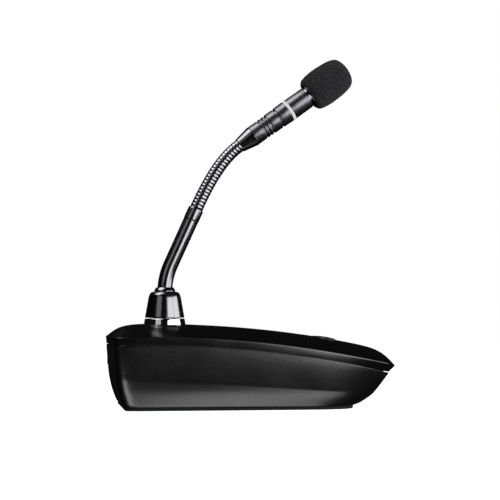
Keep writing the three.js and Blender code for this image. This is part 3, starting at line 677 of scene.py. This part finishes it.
socket = {
    "x": sum(v.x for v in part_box("chrome_ring")) / 2 / mm,
    "hole": 6.8,
    "seat": 9.7,
    "seatZ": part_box("chrome_ring")[0].z / mm - 0.05,
}
muteBar = {"x": 34.5, "long": 24, "wide": 8, "proud": 0.6, "edge": 0.8, "skirt": 4}
lamps = {
    "status_light": stadium(26.5, 12, 1.6, 10),
    "battery_light": circle(26.5, 10, 1.0, 32),
    "link_light": circle(26.5, -10, 1.0, 32),
}
coverHoles = {  # lowest and highest point of each cutter, some of them well above the cover
    "seatTop": 50,
    "socket": (20, 50),
    "bar": (15, 45),
    "lamp": (20, 45),
    "lampGap": 0.15,
}


def grown(points, amount):
    # the same outline, larger or smaller by this much all round
    out = []
    for i, (x, y) in enumerate(points):
        (ax, ay), (bx, by) = points[i - 1], points[(i + 1) % len(points)]
        normal = Vector((by - ay, ax - bx)).normalized()
        out.append((x + normal.x * amount, y + normal.y * amount))
    return out


def makeTopCover():
    fine = [i / 30 for i in range(1, 24)] + [0.8, 0.84, 0.875, 0.905, 0.93, 0.95, 0.966, 0.98, 0.991]
    coarse = [0.95, 0.8, 0.5]
    wall = case["coverWall"]
    low = lambda x, y: seamZ(x) + case["seamGap"] / 2
    levels = crownLevels(fine, 0, 0)
    levels.append((outline(case["rim"]), rimZ, case["rimEdge"]))
    levels.append((outline(case["seam"]), low, 0.12))
    levels.append((outline(case["seam"], wall), low, 0))
    levels.append((outline(case["rim"], wall), lambda x, y: rimZ(x) - wall / 2, 0))
    levels += crownLevels(coarse, wall, wall)
    middle = case["widestX"]
    top = crownZ(middle, 0)
    poles = ((middle, 0, top), (middle, 0, top - wall))
    cover = loft("topCover", sectionsThrough(levels), finish["cover"], poles)
    bar = stadium(muteBar["x"], muteBar["long"], muteBar["wide"])
    cuts = [
        merged("cutRound", [
            prism(circle(socket["x"], 0, socket["seat"], 96), socket["seatZ"], coverHoles["seatTop"]),
            prism(grown(bar, case["gap"]), *coverHoles["bar"]),
            *(prism(grown(points, coverHoles["lampGap"]), *coverHoles["lamp"]) for points in lamps.values()),
        ]),
        merged("cutSocket", [prism(circle(socket["x"], 0, socket["hole"], 64), *coverHoles["socket"])]),
    ]
    place(cutAndJoin(cover, cuts), "base", "satin_black_plastic", "top_cover")


housing = {
    "doorHalf": 20,
    "hingeRoom": 0.65,
    "doorCut": (-1, 6),
    "slotX": (-65, -56),  # the slot of the power slider, through the rear wall
    "slotZ": (18.2, 21.8),
    "slotInset": 1.5,
    "contact": (1.75, -1, 4.4),  # radius, lowest and highest point
    "postRadius": 3.6,
    "postDrop": 4,
    "wellRadius": 2.5,
    "wellDrop": 7.6,
    "earPlace": 21.8,
    "earReach": (1.2, 2.8),  # behind and in front of the door's rear edge
    "earHalf": 1.5,
    "earZ": (2.6, 4.8),
    "window": (12, 9.3, 4.3),
    "windowPlace": (56.3, 0, 10.9),
    "windowSlant": 37,
}


def makeLowerHousing():
    wall = case["housingWall"]
    lipIn, lipUp = case["lip"]
    high = lambda x, y: seamZ(x) - case["seamGap"] / 2
    mid = lambda x, y: (seamZ(x) + creaseZ(x)) / 2
    levels = [
        (outline(case["sole"], 0, 0.5), lambda x, y: case["soleZ"], 0),
        (outline(case["sole"]), lambda x, y: case["soleZ"], 0.5),
        (outline(case["heel"]), lambda x, y: case["heelZ"], 0.9),
        (outline(case["flank"]), lambda x, y: (creaseZ(x) + case["heelZ"]) / 2, 5),
        (outline(case["crease"]), creaseZ, case["creaseEdge"]),
        (outline(case["belly"]), mid, 9),
        (outline(case["seam"]), high, 0.12),
        (outline(case["seam"], lipIn), high, 0),
        (outline(case["seam"], lipIn), lambda x, y: seamZ(x) + lipUp, 0.2),
        (outline(case["seam"], wall), lambda x, y: seamZ(x) + lipUp, 0),
        (outline(case["seam"], wall), seamZ, 0),
        (outline(case["belly"], wall), mid, 0),
        (outline(case["crease"], wall), creaseZ, 0),
        (outline(case["heel"], wall), lambda x, y: case["floorZ"], 0),
        (outline(case["heel"], wall, 0.5), lambda x, y: case["floorZ"], 0),
    ]
    middle = case["widestX"]
    poles = ((middle, 0, case["soleZ"]), (middle, 0, case["floorZ"]))
    shell = loft("lowerHousing", sectionsThrough(levels), finish["housing"], poles)
    doorLow, doorHigh = (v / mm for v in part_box("battery_door"))
    gap = case["gap"]
    half = housing["doorHalf"] + gap
    opening = rectangle((doorLow.x - housing["hingeRoom"], -half), (doorHigh.x + gap, half))
    knobLow, knobHigh = (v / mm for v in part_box("power_slider"))
    travel = joints["power_slide"]["range_m"][1] / mm
    posts = merged("posts", [
        prism(circle(x, y, housing["postRadius"]), case["floorZ"] - 0.8, seamZ(x) - housing["postDrop"])
        for x, y in case["posts"]])
    behind, ahead = housing["earReach"]
    earHalf = housing["earHalf"]
    rear, front = doorLow.x - behind, doorLow.x + ahead
    ears = merged("ears", [
        prism(rectangle((rear, y - earHalf), (front, y + earHalf)), *housing["earZ"])
        for y in (housing["earPlace"], -housing["earPlace"])])
    inset = housing["slotInset"]
    outer, inner = housing["slotX"]
    slot = rectangle((outer, knobLow.y + inset - gap), (inner, knobHigh.y - inset + travel + gap))
    slots = [prism(opening, *housing["doorCut"]), prism(slot, *housing["slotZ"])]
    contactRadius, contactLow, contactHigh = housing["contact"]
    slots += [prism(circle(x, y, contactRadius, 32), contactLow, contactHigh) for x, y in contactPlaces()]
    wells = [prism(circle(x, y, housing["wellRadius"]), -1, seamZ(x) - housing["wellDrop"])
             for x, y in case["posts"]]
    cuts = [merged("slots", slots), merged("wells", wells), slantedBlock("windowCut", *housing["window"])]
    place(cutAndJoin(shell, cuts, [posts, ears]), "base", "satin_black_plastic", "lower_housing")


def contactPlaces():
    spots = []
    for side in ("left", "right"):
        low, high = (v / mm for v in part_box(f"charge_contact_{side}"))
        spots.append(((low.x + high.x) / 2, (low.y + high.y) / 2))
    return spots


def slantedBlock(name, deep, wide, tall):
    # the space of the slanted window in the front face
    turn = Matrix.Rotation(math.radians(housing["windowSlant"]), 4, "Y")
    turn = Matrix.Translation(housing["windowPlace"]) @ turn
    shape, faces = prism(rectangle((-deep / 2, -wide / 2), (deep / 2, wide / 2)), -tall / 2, tall / 2)
    return newPiece(name, [turn @ Vector(v) for v in shape], faces)


basePad = {
    "thick": 1.3,
    "inset": 0.3,
    "chamfer": 0.3,
    "doorRoom": (1.05, 0.7),  # behind and in front of the battery door
    "doorHalf": 20.7,
    "screwHole": 2.8,
    "contactHole": 2.4,
}


def makeBasePad():
    ends = case["sole"]
    inset, chamfer, thick = basePad["inset"], basePad["chamfer"], basePad["thick"]
    levels = [
        (outline(ends, inset, 0.5), lambda x, y: thick, 0),
        (outline(ends, inset), lambda x, y: thick, 0.2),
        (outline(ends, inset), lambda x, y: chamfer, 0.2),
        (outline(ends, inset + chamfer), lambda x, y: 0.0, 0),
        (outline(ends, inset + chamfer, 0.5), lambda x, y: 0.0, 0),
    ]
    middle = case["widestX"]
    pad = loft("basePad", sectionsThrough(levels), finish["rubber"], ((middle, 0, thick), (middle, 0, 0)))
    doorLow, doorHigh = (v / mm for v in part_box("battery_door"))
    behind, ahead = basePad["doorRoom"]
    half = basePad["doorHalf"]
    opening = rectangle((doorLow.x - behind, -half), (doorHigh.x + ahead, half))
    holes = [prism(circle(x, y, basePad["screwHole"]), -1, 3) for x, y in case["posts"]]
    holes += [prism(circle(x, y, basePad["contactHole"]), -1, 3) for x, y in contactPlaces()]
    pad = cutAndJoin(pad, [merged("padCuts", [prism(opening, -1, 3), *holes])])
    place(pad, "base", "soft_rubber", "base_pad")


def makeCap(name, points, proud, edge, bottom, material):
    # a plug that follows the crown, with a rounded edge
    steps = 5
    count = len(points)
    rings = [[(x, y, bottom) for x, y in points]]
    for i in range(steps + 1):
        angle = math.pi / 2 * i / steps
        inner = grown(points, -edge * (1 - math.cos(angle)))
        drop = edge * (1 - math.sin(angle))
        rings.append([(x, y, crownZ(x, y) + proud - drop) for x, y in inner])
    cx, cy = (sum(p[i] for p in points) / count for i in (0, 1))
    for share in (0.75, 0.5, 0.25):
        spots = [(cx + (x - cx) * share, cy + (y - cy) * share) for x, y in grown(points, -edge)]
        rings.append([(x, y, crownZ(x, y) + proud) for x, y in spots])
    sections = [[ring[j] for ring in rings] for j in range(count)]
    return loft(name, sections, material, ((cx, cy, bottom), (cx, cy, crownZ(cx, cy) + proud)))


def makeTopDetails():
    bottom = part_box("mute_button")[0].z / mm + muteBar["skirt"]
    bar = makeCap("muteBar", stadium(muteBar["x"], muteBar["long"], muteBar["wide"]), muteBar["proud"],
                  muteBar["edge"], bottom, finish["button"])
    place(bar, "mute_button", "satin_black_plastic", "mute_button")
    for node, points in lamps.items():
        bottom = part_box(node)[0].z / mm
        lens = makeCap(node.replace("_light", "Lens"), points, 0.05, 0.25, bottom, finish["lens"])
        place(lens, "base", "smoked_lens", node)


def makeScrews():
    # one screw head with a hexagon socket, set on the four places in the base
    tree, given = newTree("screwTree", {"Screw": "Object", "Material": "Material"})
    screw = addNode(tree, "GeometryNodeObjectInfo", {"Object": given["Screw"]})
    placed = addNode(tree, "GeometryNodeInstanceOnPoints", {
        "Points": given["Geometry"], "Instance": screw.outputs["Geometry"]})
    endTree(tree, placed.outputs[0], given["Material"])
    head = turned("screwShape", [(0, 1.5), (0, 0.5), (1.0, 0.5), (1.0, 0, 0.1), (2.2, 0, 0.3), (2.2, 1.45),
                                 (1.15, 1.45), (1.15, 9), (0, 9)], sides=6 * 8)
    spots = []
    for i in range(1, 5):
        low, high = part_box(f"case_screw_{i}")
        spots.append(Vector((*((low.xy + high.xy) / 2), low.z)))
    mesh = bpy.data.meshes.new("screwPlaces")
    mesh.from_pydata(spots, [], [])
    base = link(bpy.data.objects.new("screwPlaces", mesh))
    screws = grow("caseScrews", base, tree, {"Screw": head, "Material": finish["zinc"]})
    bpy.data.objects.remove(head)
    place(screws, "base", "bare_steel", *(f"case_screw_{i}" for i in range(1, 5)))


def onSocket():
    return Matrix.Translation((socket["x"], 0, 0))


foot = {  # corners of the turned sections: radius, height and rounding
    "ringBore": 6.75,
    "ringTop": 8.85,
    "boot": [(7.05, 49.5, 1.6), (6.1, 50.9, 0.8)],
    "bootTop": 4.95,
    "bootInside": [(3.45, 47.6), (5.8, 46.6), (7.3, 41.6)],
    "collar": (4.82, 4.6, 3.9),
    "tubeRoom": 3.45,
}


def makeFoot():
    low, high = (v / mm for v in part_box("chrome_ring"))
    bore = foot["ringBore"]
    ring = turned("chromeRing", [
        (bore, low.z), ((high.x - low.x) / 2, low.z), (foot["ringTop"], high.z, 0.4), (bore, high.z, 0.2)],
        onSocket(), finish["chrome"], 160)
    place(ring, "base", "chrome_plate", "chrome_ring")
    low, high = (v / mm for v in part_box("neck_boot"))
    room = foot["tubeRoom"]
    boot = turned("neckBoot", [
        (7.35, low.z, 0.2), ((high.x - low.x) / 2, low.z, 0.35), *foot["boot"],
        (foot["bootTop"], high.z, 0.15), (room, high.z), *foot["bootInside"]],
        onSocket(), finish["nickel"], 160)
    place(boot, "stem", "black_nickel_plate", "neck_boot")
    low, high = (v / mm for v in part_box("boot_collar"))
    wide, middle, narrow = foot["collar"]
    collar = turned("bootCollar", [
        (room, low.z), (wide, low.z, 0.25), (middle, low.z + 0.7, 0.3), (narrow, high.z, 0.35),
        (room, high.z)],
        onSocket(), finish["nickel"], 96)
    place(collar, "stem", "black_nickel_plate", "boot_collar")


neck = {
    "bendZ": 50.8, "bendRadius": 30.0, "lean": 24.3, "straight": 21.7, "bottomZ": 42.0,
    "tubeRadius": 3.35,
    "conduitRadius": 2.8, "ridge": 0.2, "turns": 22, "rows": 31, "sides": 64, "samples": 8,
    "ferruleLong": 6.1,
}
bendJoints = []
for i in range(1, 7):
    suffix = "" if i == 1 else f"_{i}"
    bendJoints += [joints["neck_bend" + suffix], joints["neck_sway" + suffix]]
pivots = [Vector(joint["pos_m"]) / mm for joint in bendJoints]


def tubeLine():
    # straight up, round one bend, then straight at its lean
    lean = math.radians(neck["lean"])
    points = [Vector((socket["x"], 0, neck["bottomZ"])), Vector((socket["x"], 0, neck["bendZ"]))]
    for i in range(1, 25):
        angle = lean * i / 24
        out = neck["bendRadius"] * (1 - math.cos(angle))
        points.append(Vector((socket["x"] + out, 0, neck["bendZ"] + neck["bendRadius"] * math.sin(angle))))
    points.append(points[-1] + neck["straight"] * Vector((math.sin(lean), 0, math.cos(lean))))
    return points


def conduitLine():
    # the flexible stretch through its pivots, which stand half a piece from either end
    count = len(pivots)
    step = (pivots[1] - pivots[0]).length
    leans = [math.atan2((b - a).x, (b - a).z) for a, b in zip(pivots, pivots[1:])]
    first = 2 * leans[0] - leans[1]
    samples = neck["samples"]
    lastAxis = Vector(joints["windscreen_pull"]["axis"])
    before = pivots[0] - Vector((math.sin(first), 0, math.cos(first))) * step / 2
    after = pivots[-1] + lastAxis.normalized() * step / 2
    knots = [before, *pivots, after]
    tangents = [(knots[1] - knots[0]).normalized()]
    tangents += [(b - a).normalized() for a, b in zip(knots, knots[2:])]
    tangents.append(lastAxis.normalized())

    def at(s):
        # s is 0 at the start and `count` at the end, in pieces
        position = min(max(s + 0.5, 0.5), count + 0.5)
        k = min(int(position), count)
        if position < 1:
            k, t, width = 0, (position - 0.5) * 2, step / 2
        elif position >= count:
            k, t, width = count, (position - count) * 2, step / 2
        else:
            t, width = position - k, step
        a, b = knots[k], knots[k + 1]
        ta, tb = tangents[k] * width, tangents[k + 1] * width
        h1, h2 = 2 * t ** 3 - 3 * t * t + 1, t ** 3 - 2 * t * t + t
        h3, h4 = -2 * t ** 3 + 3 * t * t, t ** 3 - t * t
        return a * h1 + ta * h2 + b * h3 + tb * h4

    return [[at(k + i / samples) for i in range(samples + 1)] for k in range(count)], after


def makeSweepTree():
    # sweeps a round section along a line, and raises a spiral ridge on it
    tree, given = newTree("windTree", {
        "Radius": "Float", "Ridge": "Float", "Pitch": "Float", "Start": "Float",
        "Rows": "Int", "Sides": "Int", "Material": "Material"})
    curve = addNode(tree, "GeometryNodeMeshToCurve", {"Mesh": given["Geometry"]})
    even = addNode(tree, "GeometryNodeResampleCurve", {"Curve": curve.outputs[0], "Count": given["Rows"]})
    level = addNode(tree, "GeometryNodeSetCurveNormal", {"Curve": even.outputs[0]}, mode="Z_UP")
    length = addNode(tree, "GeometryNodeSplineParameter")
    spot = addNode(tree, "GeometryNodeInputPosition")
    keptLength = addNode(tree, "GeometryNodeCaptureAttribute", {"Geometry": level.outputs[0]})
    keptLength.capture_items.new("FLOAT", "Along")
    keptLength.capture_items.new("VECTOR", "Centre")
    tree.links.new(length.outputs["Length"], keptLength.inputs["Along"])
    tree.links.new(spot.outputs[0], keptLength.inputs["Centre"])
    ring = addNode(tree, "GeometryNodeCurvePrimitiveCircle", {
        "Resolution": given["Sides"], "Radius": given["Radius"]}, mode="RADIUS")
    turn = addNode(tree, "GeometryNodeSplineParameter")
    keptTurn = addNode(tree, "GeometryNodeCaptureAttribute", {"Geometry": ring.outputs[0]})
    keptTurn.capture_items.new("FLOAT", "Turn")
    tree.links.new(turn.outputs["Factor"], keptTurn.inputs["Turn"])
    tube = addNode(tree, "GeometryNodeCurveToMesh", {
        "Curve": keptLength.outputs[0], "Profile Curve": keptTurn.outputs[0], "Fill Caps": True})

    travelled = addNode(tree, "ShaderNodeMath", {
        0: keptLength.outputs["Along"], 1: given["Start"]}, operation="ADD")
    wound = addNode(tree, "ShaderNodeMath", {0: travelled.outputs[0], 1: given["Pitch"]}, operation="DIVIDE")
    twisted = addNode(tree, "ShaderNodeMath", {
        0: wound.outputs[0], 1: keptTurn.outputs["Turn"]}, operation="ADD")
    phase = addNode(tree, "ShaderNodeMath", {0: twisted.outputs[0]}, operation="FRACT")
    angle = addNode(tree, "ShaderNodeMath", {0: phase.outputs[0], 1: math.pi}, operation="MULTIPLY")
    wave = addNode(tree, "ShaderNodeMath", {0: angle.outputs[0]}, operation="SINE")
    hump = addNode(tree, "ShaderNodeMath", {0: wave.outputs[0], 1: 0.5}, operation="POWER")
    rise = addNode(tree, "ShaderNodeMath", {0: hump.outputs[0], 1: given["Ridge"]}, operation="MULTIPLY")
    outward = addNode(tree, "ShaderNodeVectorMath", {0: spot.outputs[0], 1: keptLength.outputs["Centre"]},
                      operation="SUBTRACT")
    unit = addNode(tree, "ShaderNodeVectorMath", {0: outward.outputs[0]}, operation="NORMALIZE")
    offset = addNode(tree, "ShaderNodeVectorMath", {0: unit.outputs[0], "Scale": rise.outputs[0]},
                     operation="SCALE")
    moved = addNode(tree, "GeometryNodeSetPosition", {
        "Geometry": tube.outputs[0], "Offset": offset.outputs[0]})
    endTree(tree, moved.outputs[0], given["Material"])
    return tree


def lineObject(name, points):
    mesh = bpy.data.meshes.new(name)
    mesh.from_pydata([point * mm for point in points], [(i, i + 1) for i in range(len(points) - 1)], [])
    return link(bpy.data.objects.new(name, mesh))


def makeNeck():
    tree = makeSweepTree()
    tube = grow("neckTube", lineObject("tubeLine", tubeLine()), tree, {
        "Radius": neck["tubeRadius"] * mm, "Ridge": 0.0, "Pitch": 1.0, "Start": 0.0, "Rows": 90, "Sides": 96,
        "Material": finish["nickel"]})
    place(tube, "stem", "black_nickel_plate", "neck_tube")
    stretches, end = conduitLine()
    for k, line in enumerate(stretches):
        span = sum((b - a).length for a, b in zip(line, line[1:])) * mm
        piece = grow(f"conduit{k + 1:02d}", lineObject("conduitLine", line), tree, {
            "Radius": neck["conduitRadius"] * mm, "Ridge": neck["ridge"] * mm,
            "Pitch": span * len(stretches) / neck["turns"], "Start": span * k,
            "Rows": neck["rows"], "Sides": neck["sides"], "Material": finish["conduit"]}, 60)
        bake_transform(piece)
        if k < len(stretches) - 1:
            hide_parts(f"neck_link_{k + 1:02d}")
    return end


headAxis = Vector(joints["windscreen_pull"]["axis"]).normalized()


def alongHead(origin):
    return Matrix.Translation(origin) @ headAxis.to_track_quat("Z", "Y").to_matrix().to_4x4()


def tubeEnd():
    lean = math.radians(neck["lean"])
    direction = Vector((math.sin(lean), 0, math.cos(lean)))
    start = tubeLine()[-1] + direction * neck["ferruleLong"]
    return Matrix.Translation(start) @ direction.to_track_quat("Z", "Y").to_matrix().to_4x4()


def makeLowerFerrule():
    lower = turned("lowerFerrule", [
        (1.6, -6), (3.35, -6, 0.1), (3.47, -5.5, 0.2), (3.47, -0.5, 0.3), (3.1, -0.05, 0.15), (1.6, -0.05)],
        tubeEnd(), finish["nickel"], 96)
    place(lower, "stem", "black_nickel_plate", "lower_ferrule")


# turned pieces of the head: node, finish, slot, and the corners (radius, distance along the head, rounding)
headPieces = {
    "upperFerrule": ("upper_ferrule", "nickel", "black_nickel_plate", [
        (1.6, 0.05), (3.25, 0.05, 0.15), (3.35, 0.5, 0.2), (4.6, 6.9, 0.3), (4.7, 7.5, 0.15), (1.6, 7.5)]),
    "gripSleeve": ("grip_sleeve", "anodised", "black_anodised_aluminium", [
        (3.3, 7.6), (4.58, 7.6, 0.2), (4.58, 12.35, 0.25), (4.1, 12.5, 0.1), (4.1, 13.1, 0.1),
        (4.62, 13.25, 0.25), (4.62, 14.15, 0.25), (4.15, 14.35, 0.1), (4.15, 14.85, 0.1),
        (4.64, 15, 0.25), (4.64, 15.9, 0.25), (4.2, 16.1, 0.1), (4.2, 16.8, 0.1),
        (4.72, 17, 0.25), (4.75, 21.1, 0.2), (4.1, 21.2), (3.3, 21.2)]),
    "lampHolder": ("lamp_holder", "anodised", "black_anodised_aluminium", [
        (3.3, 21.3), (4.1, 21.3), (4.1, 22, 0.1), (4.85, 22.1, 0.2), (5.0, 27, 0.12), (3.3, 27)]),
    "lightRing": ("light_ring", "diffuser", "light_diffuser", [
        (3.8, 27.05), (5.02, 27.05, 0.05), (5.02, 28.35, 0.05), (3.8, 28.35)]),
    "capsuleHousing": ("capsule_housing", "anodised", "black_anodised_aluminium", [
        (3.9, 28.4), (4.93, 28.4, 0.12), (4.88, 38.1, 0.2), (3.9, 38.1)]),
    "capsuleCollar": ("capsule_collar", "nickel", "black_moulding", [
        (3.9, 38.2), (4.6, 38.2), (4.6, 39), (5.35, 39.25, 0.2), (5.35, 40.5, 0.2), (3.9, 40.5)]),
}


def makeHeadPieces(here):
    for name, (node, look, slot, corners) in headPieces.items():
        place(turned(name, corners, here, finish[look], 128), "head", slot, node)


def domeArc(radius, start, end, steps=8):
    # a quarter ellipse from the dome's edge up to just before its pole, as (radius, distance)
    turns = [math.pi / 2 * i / steps for i in range(steps)]
    return [(radius * math.cos(a), start + (end - start) * math.sin(a)) for a in turns]


wireDome = {"start": 40.6, "end": 48.7, "radius": 4.8, "flatness": 0.7, "wire": 0.16, "sides": 48}


def makeGrille(here):
    # woven wire dome over the capsule, drawn as coarse as it needs to show
    start, end, radius, sides = (wireDome[key] for key in ("start", "end", "radius", "sides"))
    straight = end - radius * wireDome["flatness"]
    dome = [(radius, start + (straight - start) * i / 4) for i in range(4)] + domeArc(radius, straight, end)
    turns = [2 * math.pi * j / sides for j in range(sides)]
    vertices = [here @ Vector((r * math.cos(turn), r * math.sin(turn), z)) for r, z in dome for turn in turns]
    faces = []
    for row in range(0, (len(dome) - 1) * sides, sides):
        for j in range(sides):
            k = (j + 1) % sides
            faces.append((row + j, row + k, row + sides + k, row + sides + j))
    pole, last = len(vertices), (len(dome) - 1) * sides
    vertices.append(here @ Vector((0, 0, end)))
    faces += [(last + j, last + (j + 1) % sides, pole) for j in range(sides)]
    grille = newPiece("wireGrille", vertices, faces, finish["zinc"])
    wires = grille.modifiers.new("wires", "WIREFRAME")
    wires.thickness = wireDome["wire"] * mm
    wires.use_even_offset = False
    evaluated = grille.evaluated_get(bpy.context.evaluated_depsgraph_get())
    mesh = bpy.data.meshes.new_from_object(evaluated)
    bpy.data.objects.remove(grille)
    place(finishMesh("wireGrille", mesh, finish["zinc"]), "head", "bare_steel", "capsule_grille")


foamShape = {
    "outside": ((6.6, 39.4), (7.9, 40.8), (8.65, 45), (8.65, 50.4), (8.05, 55.8), (6.6, 59), (3.6, 60.5),
                (0, 60.9)),
    "cavity": 5.55, "cavityEnd": 49.6, "flatness": 0.7,
    "cell": 0.5, "depth": 0.16, "seed": 3.0, "sides": 300, "rows": 170,
}


def smoothLine(points, count):
    # Catmull-Rom curve through the points
    spots = [Vector(point) for point in points]
    ends = [2 * spots[0] - spots[1], *spots, 2 * spots[-1] - spots[-2]]
    out = []
    for i in range(count + 1):
        position = min(i / count * (len(points) - 1), len(points) - 1 - 1e-9)
        k, t = int(position), position - int(position)
        a, b, c, d = ends[k:k + 4]
        square, cube = 2 * a - 5 * b + 4 * c - d, 3 * b - a - 3 * c + d
        out.append(0.5 * (2 * b + (c - a) * t + square * t * t + cube * t ** 3))
    return out


def makeFoamTree():
    # roughens a surface into torn open cells
    tree, given = newTree("foamTree", {
        "Cell": "Float", "Depth": "Float", "Seed": "Float", "Material": "Material"})
    spot = addNode(tree, "GeometryNodeInputPosition")
    normal = addNode(tree, "GeometryNodeInputNormal")
    size = addNode(tree, "ShaderNodeMath", {0: 1.0, 1: given["Cell"]}, operation="DIVIDE")
    pattern = {"Vector": spot.outputs[0], "W": given["Seed"], "Scale": size.outputs[0]}
    cells = addNode(tree, "ShaderNodeTexVoronoi", pattern, voronoi_dimensions="4D")
    grain = addNode(tree, "ShaderNodeTexNoise", {**pattern, "Detail": 2.0}, noise_dimensions="4D")
    mixed = addNode(tree, "ShaderNodeMath", {
        0: cells.outputs["Distance"], 1: grain.outputs[0]}, operation="MULTIPLY")
    inward = addNode(tree, "ShaderNodeMath", {0: mixed.outputs[0], 1: given["Depth"]}, operation="MULTIPLY")
    turnedIn = addNode(tree, "ShaderNodeMath", {0: inward.outputs[0], 1: -2.0}, operation="MULTIPLY")
    offset = addNode(tree, "ShaderNodeVectorMath", {0: normal.outputs[0], "Scale": turnedIn.outputs[0]},
                     operation="SCALE")
    moved = addNode(tree, "GeometryNodeSetPosition", {
        "Geometry": given["Geometry"], "Offset": offset.outputs[0]})
    endTree(tree, moved.outputs[0], given["Material"])
    return tree


def makeWindscreen(here):
    outside = [tuple(p) for p in smoothLine(foamShape["outside"], foamShape["rows"])]
    outside[-1] = (0, outside[-1][1])
    radius, end = foamShape["cavity"], foamShape["cavityEnd"]
    inside = domeArc(radius, end - radius * foamShape["flatness"], end)
    profile = [*outside, (0, end), *inside[::-1], (radius, foamShape["outside"][0][1], 0.4)]
    plain = turned("foamBlank", profile, here, None, foamShape["sides"], 80)
    foam = grow("foamWindscreen", plain, makeFoamTree(), {
        "Cell": foamShape["cell"] * mm, "Depth": foamShape["depth"] * mm, "Seed": foamShape["seed"],
        "Material": finish["foam"]}, 80)
    place(foam, "windscreen", "open_cell_foam", "windscreen")


kept = {  # the finish of each CAD node that stays as it is
    "housing": ["battery_door", "power_slider"],
    "moulding": ["mute_switch", "power_switch_body", "socket_insert"],
    "zinc": ["ballast_plate", "radio_shield", "socket_shell", "plug_shell", "capsule"],
    "gold": ["battery_contact_plus", "battery_contact_minus", "charge_contact_left",
             "charge_contact_right", "plug_pins"],
    "board": ["main_board", "antenna_board", "preamp_board"],
    "battery": ["battery_pack"],
    "infrared": ["infrared_window"],
    "jacket": ["stem_lead", "head_lead"],
}
softEdges = {
    "battery_door": 0.25, "power_slider": 0.25, "charge_contact_left": 0.2,
    "charge_contact_right": 0.2, "battery_pack": 1.2, "radio_shield": 0.4,
}


def dressNodes():
    for look, names in kept.items():
        for name in names:
            node = frame["nodes"][name]
            node.data.materials.clear()
            node.data.materials.append(finish[look])
    for name, width in softEdges.items():
        node = frame["nodes"][name]
        weld = node.modifiers.new("weld", "WELD")
        weld.merge_threshold = 1e-6
        bevel = node.modifiers.new("edges", "BEVEL")
        bevel.width = width * mm
        bevel.segments = 3
        bevel.angle_limit = math.radians(40)


makeCamera()
makeWorld()
makeFloor()
for softboxName, numbers in studio["softboxes"].items():
    makeSoftbox(softboxName, *numbers)
print("stage: studio ready")

makeTopCover()
makeLowerHousing()
makeBasePad()
makeTopDetails()
makeScrews()
print("stage: case made")

makeFoot()
headOrigin = makeNeck()
print("stage: neck made")

here = alongHead(headOrigin)
makeLowerFerrule()
makeHeadPieces(here)
makeGrille(here)
makeWindscreen(here)
print("stage: head made")

dressNodes()
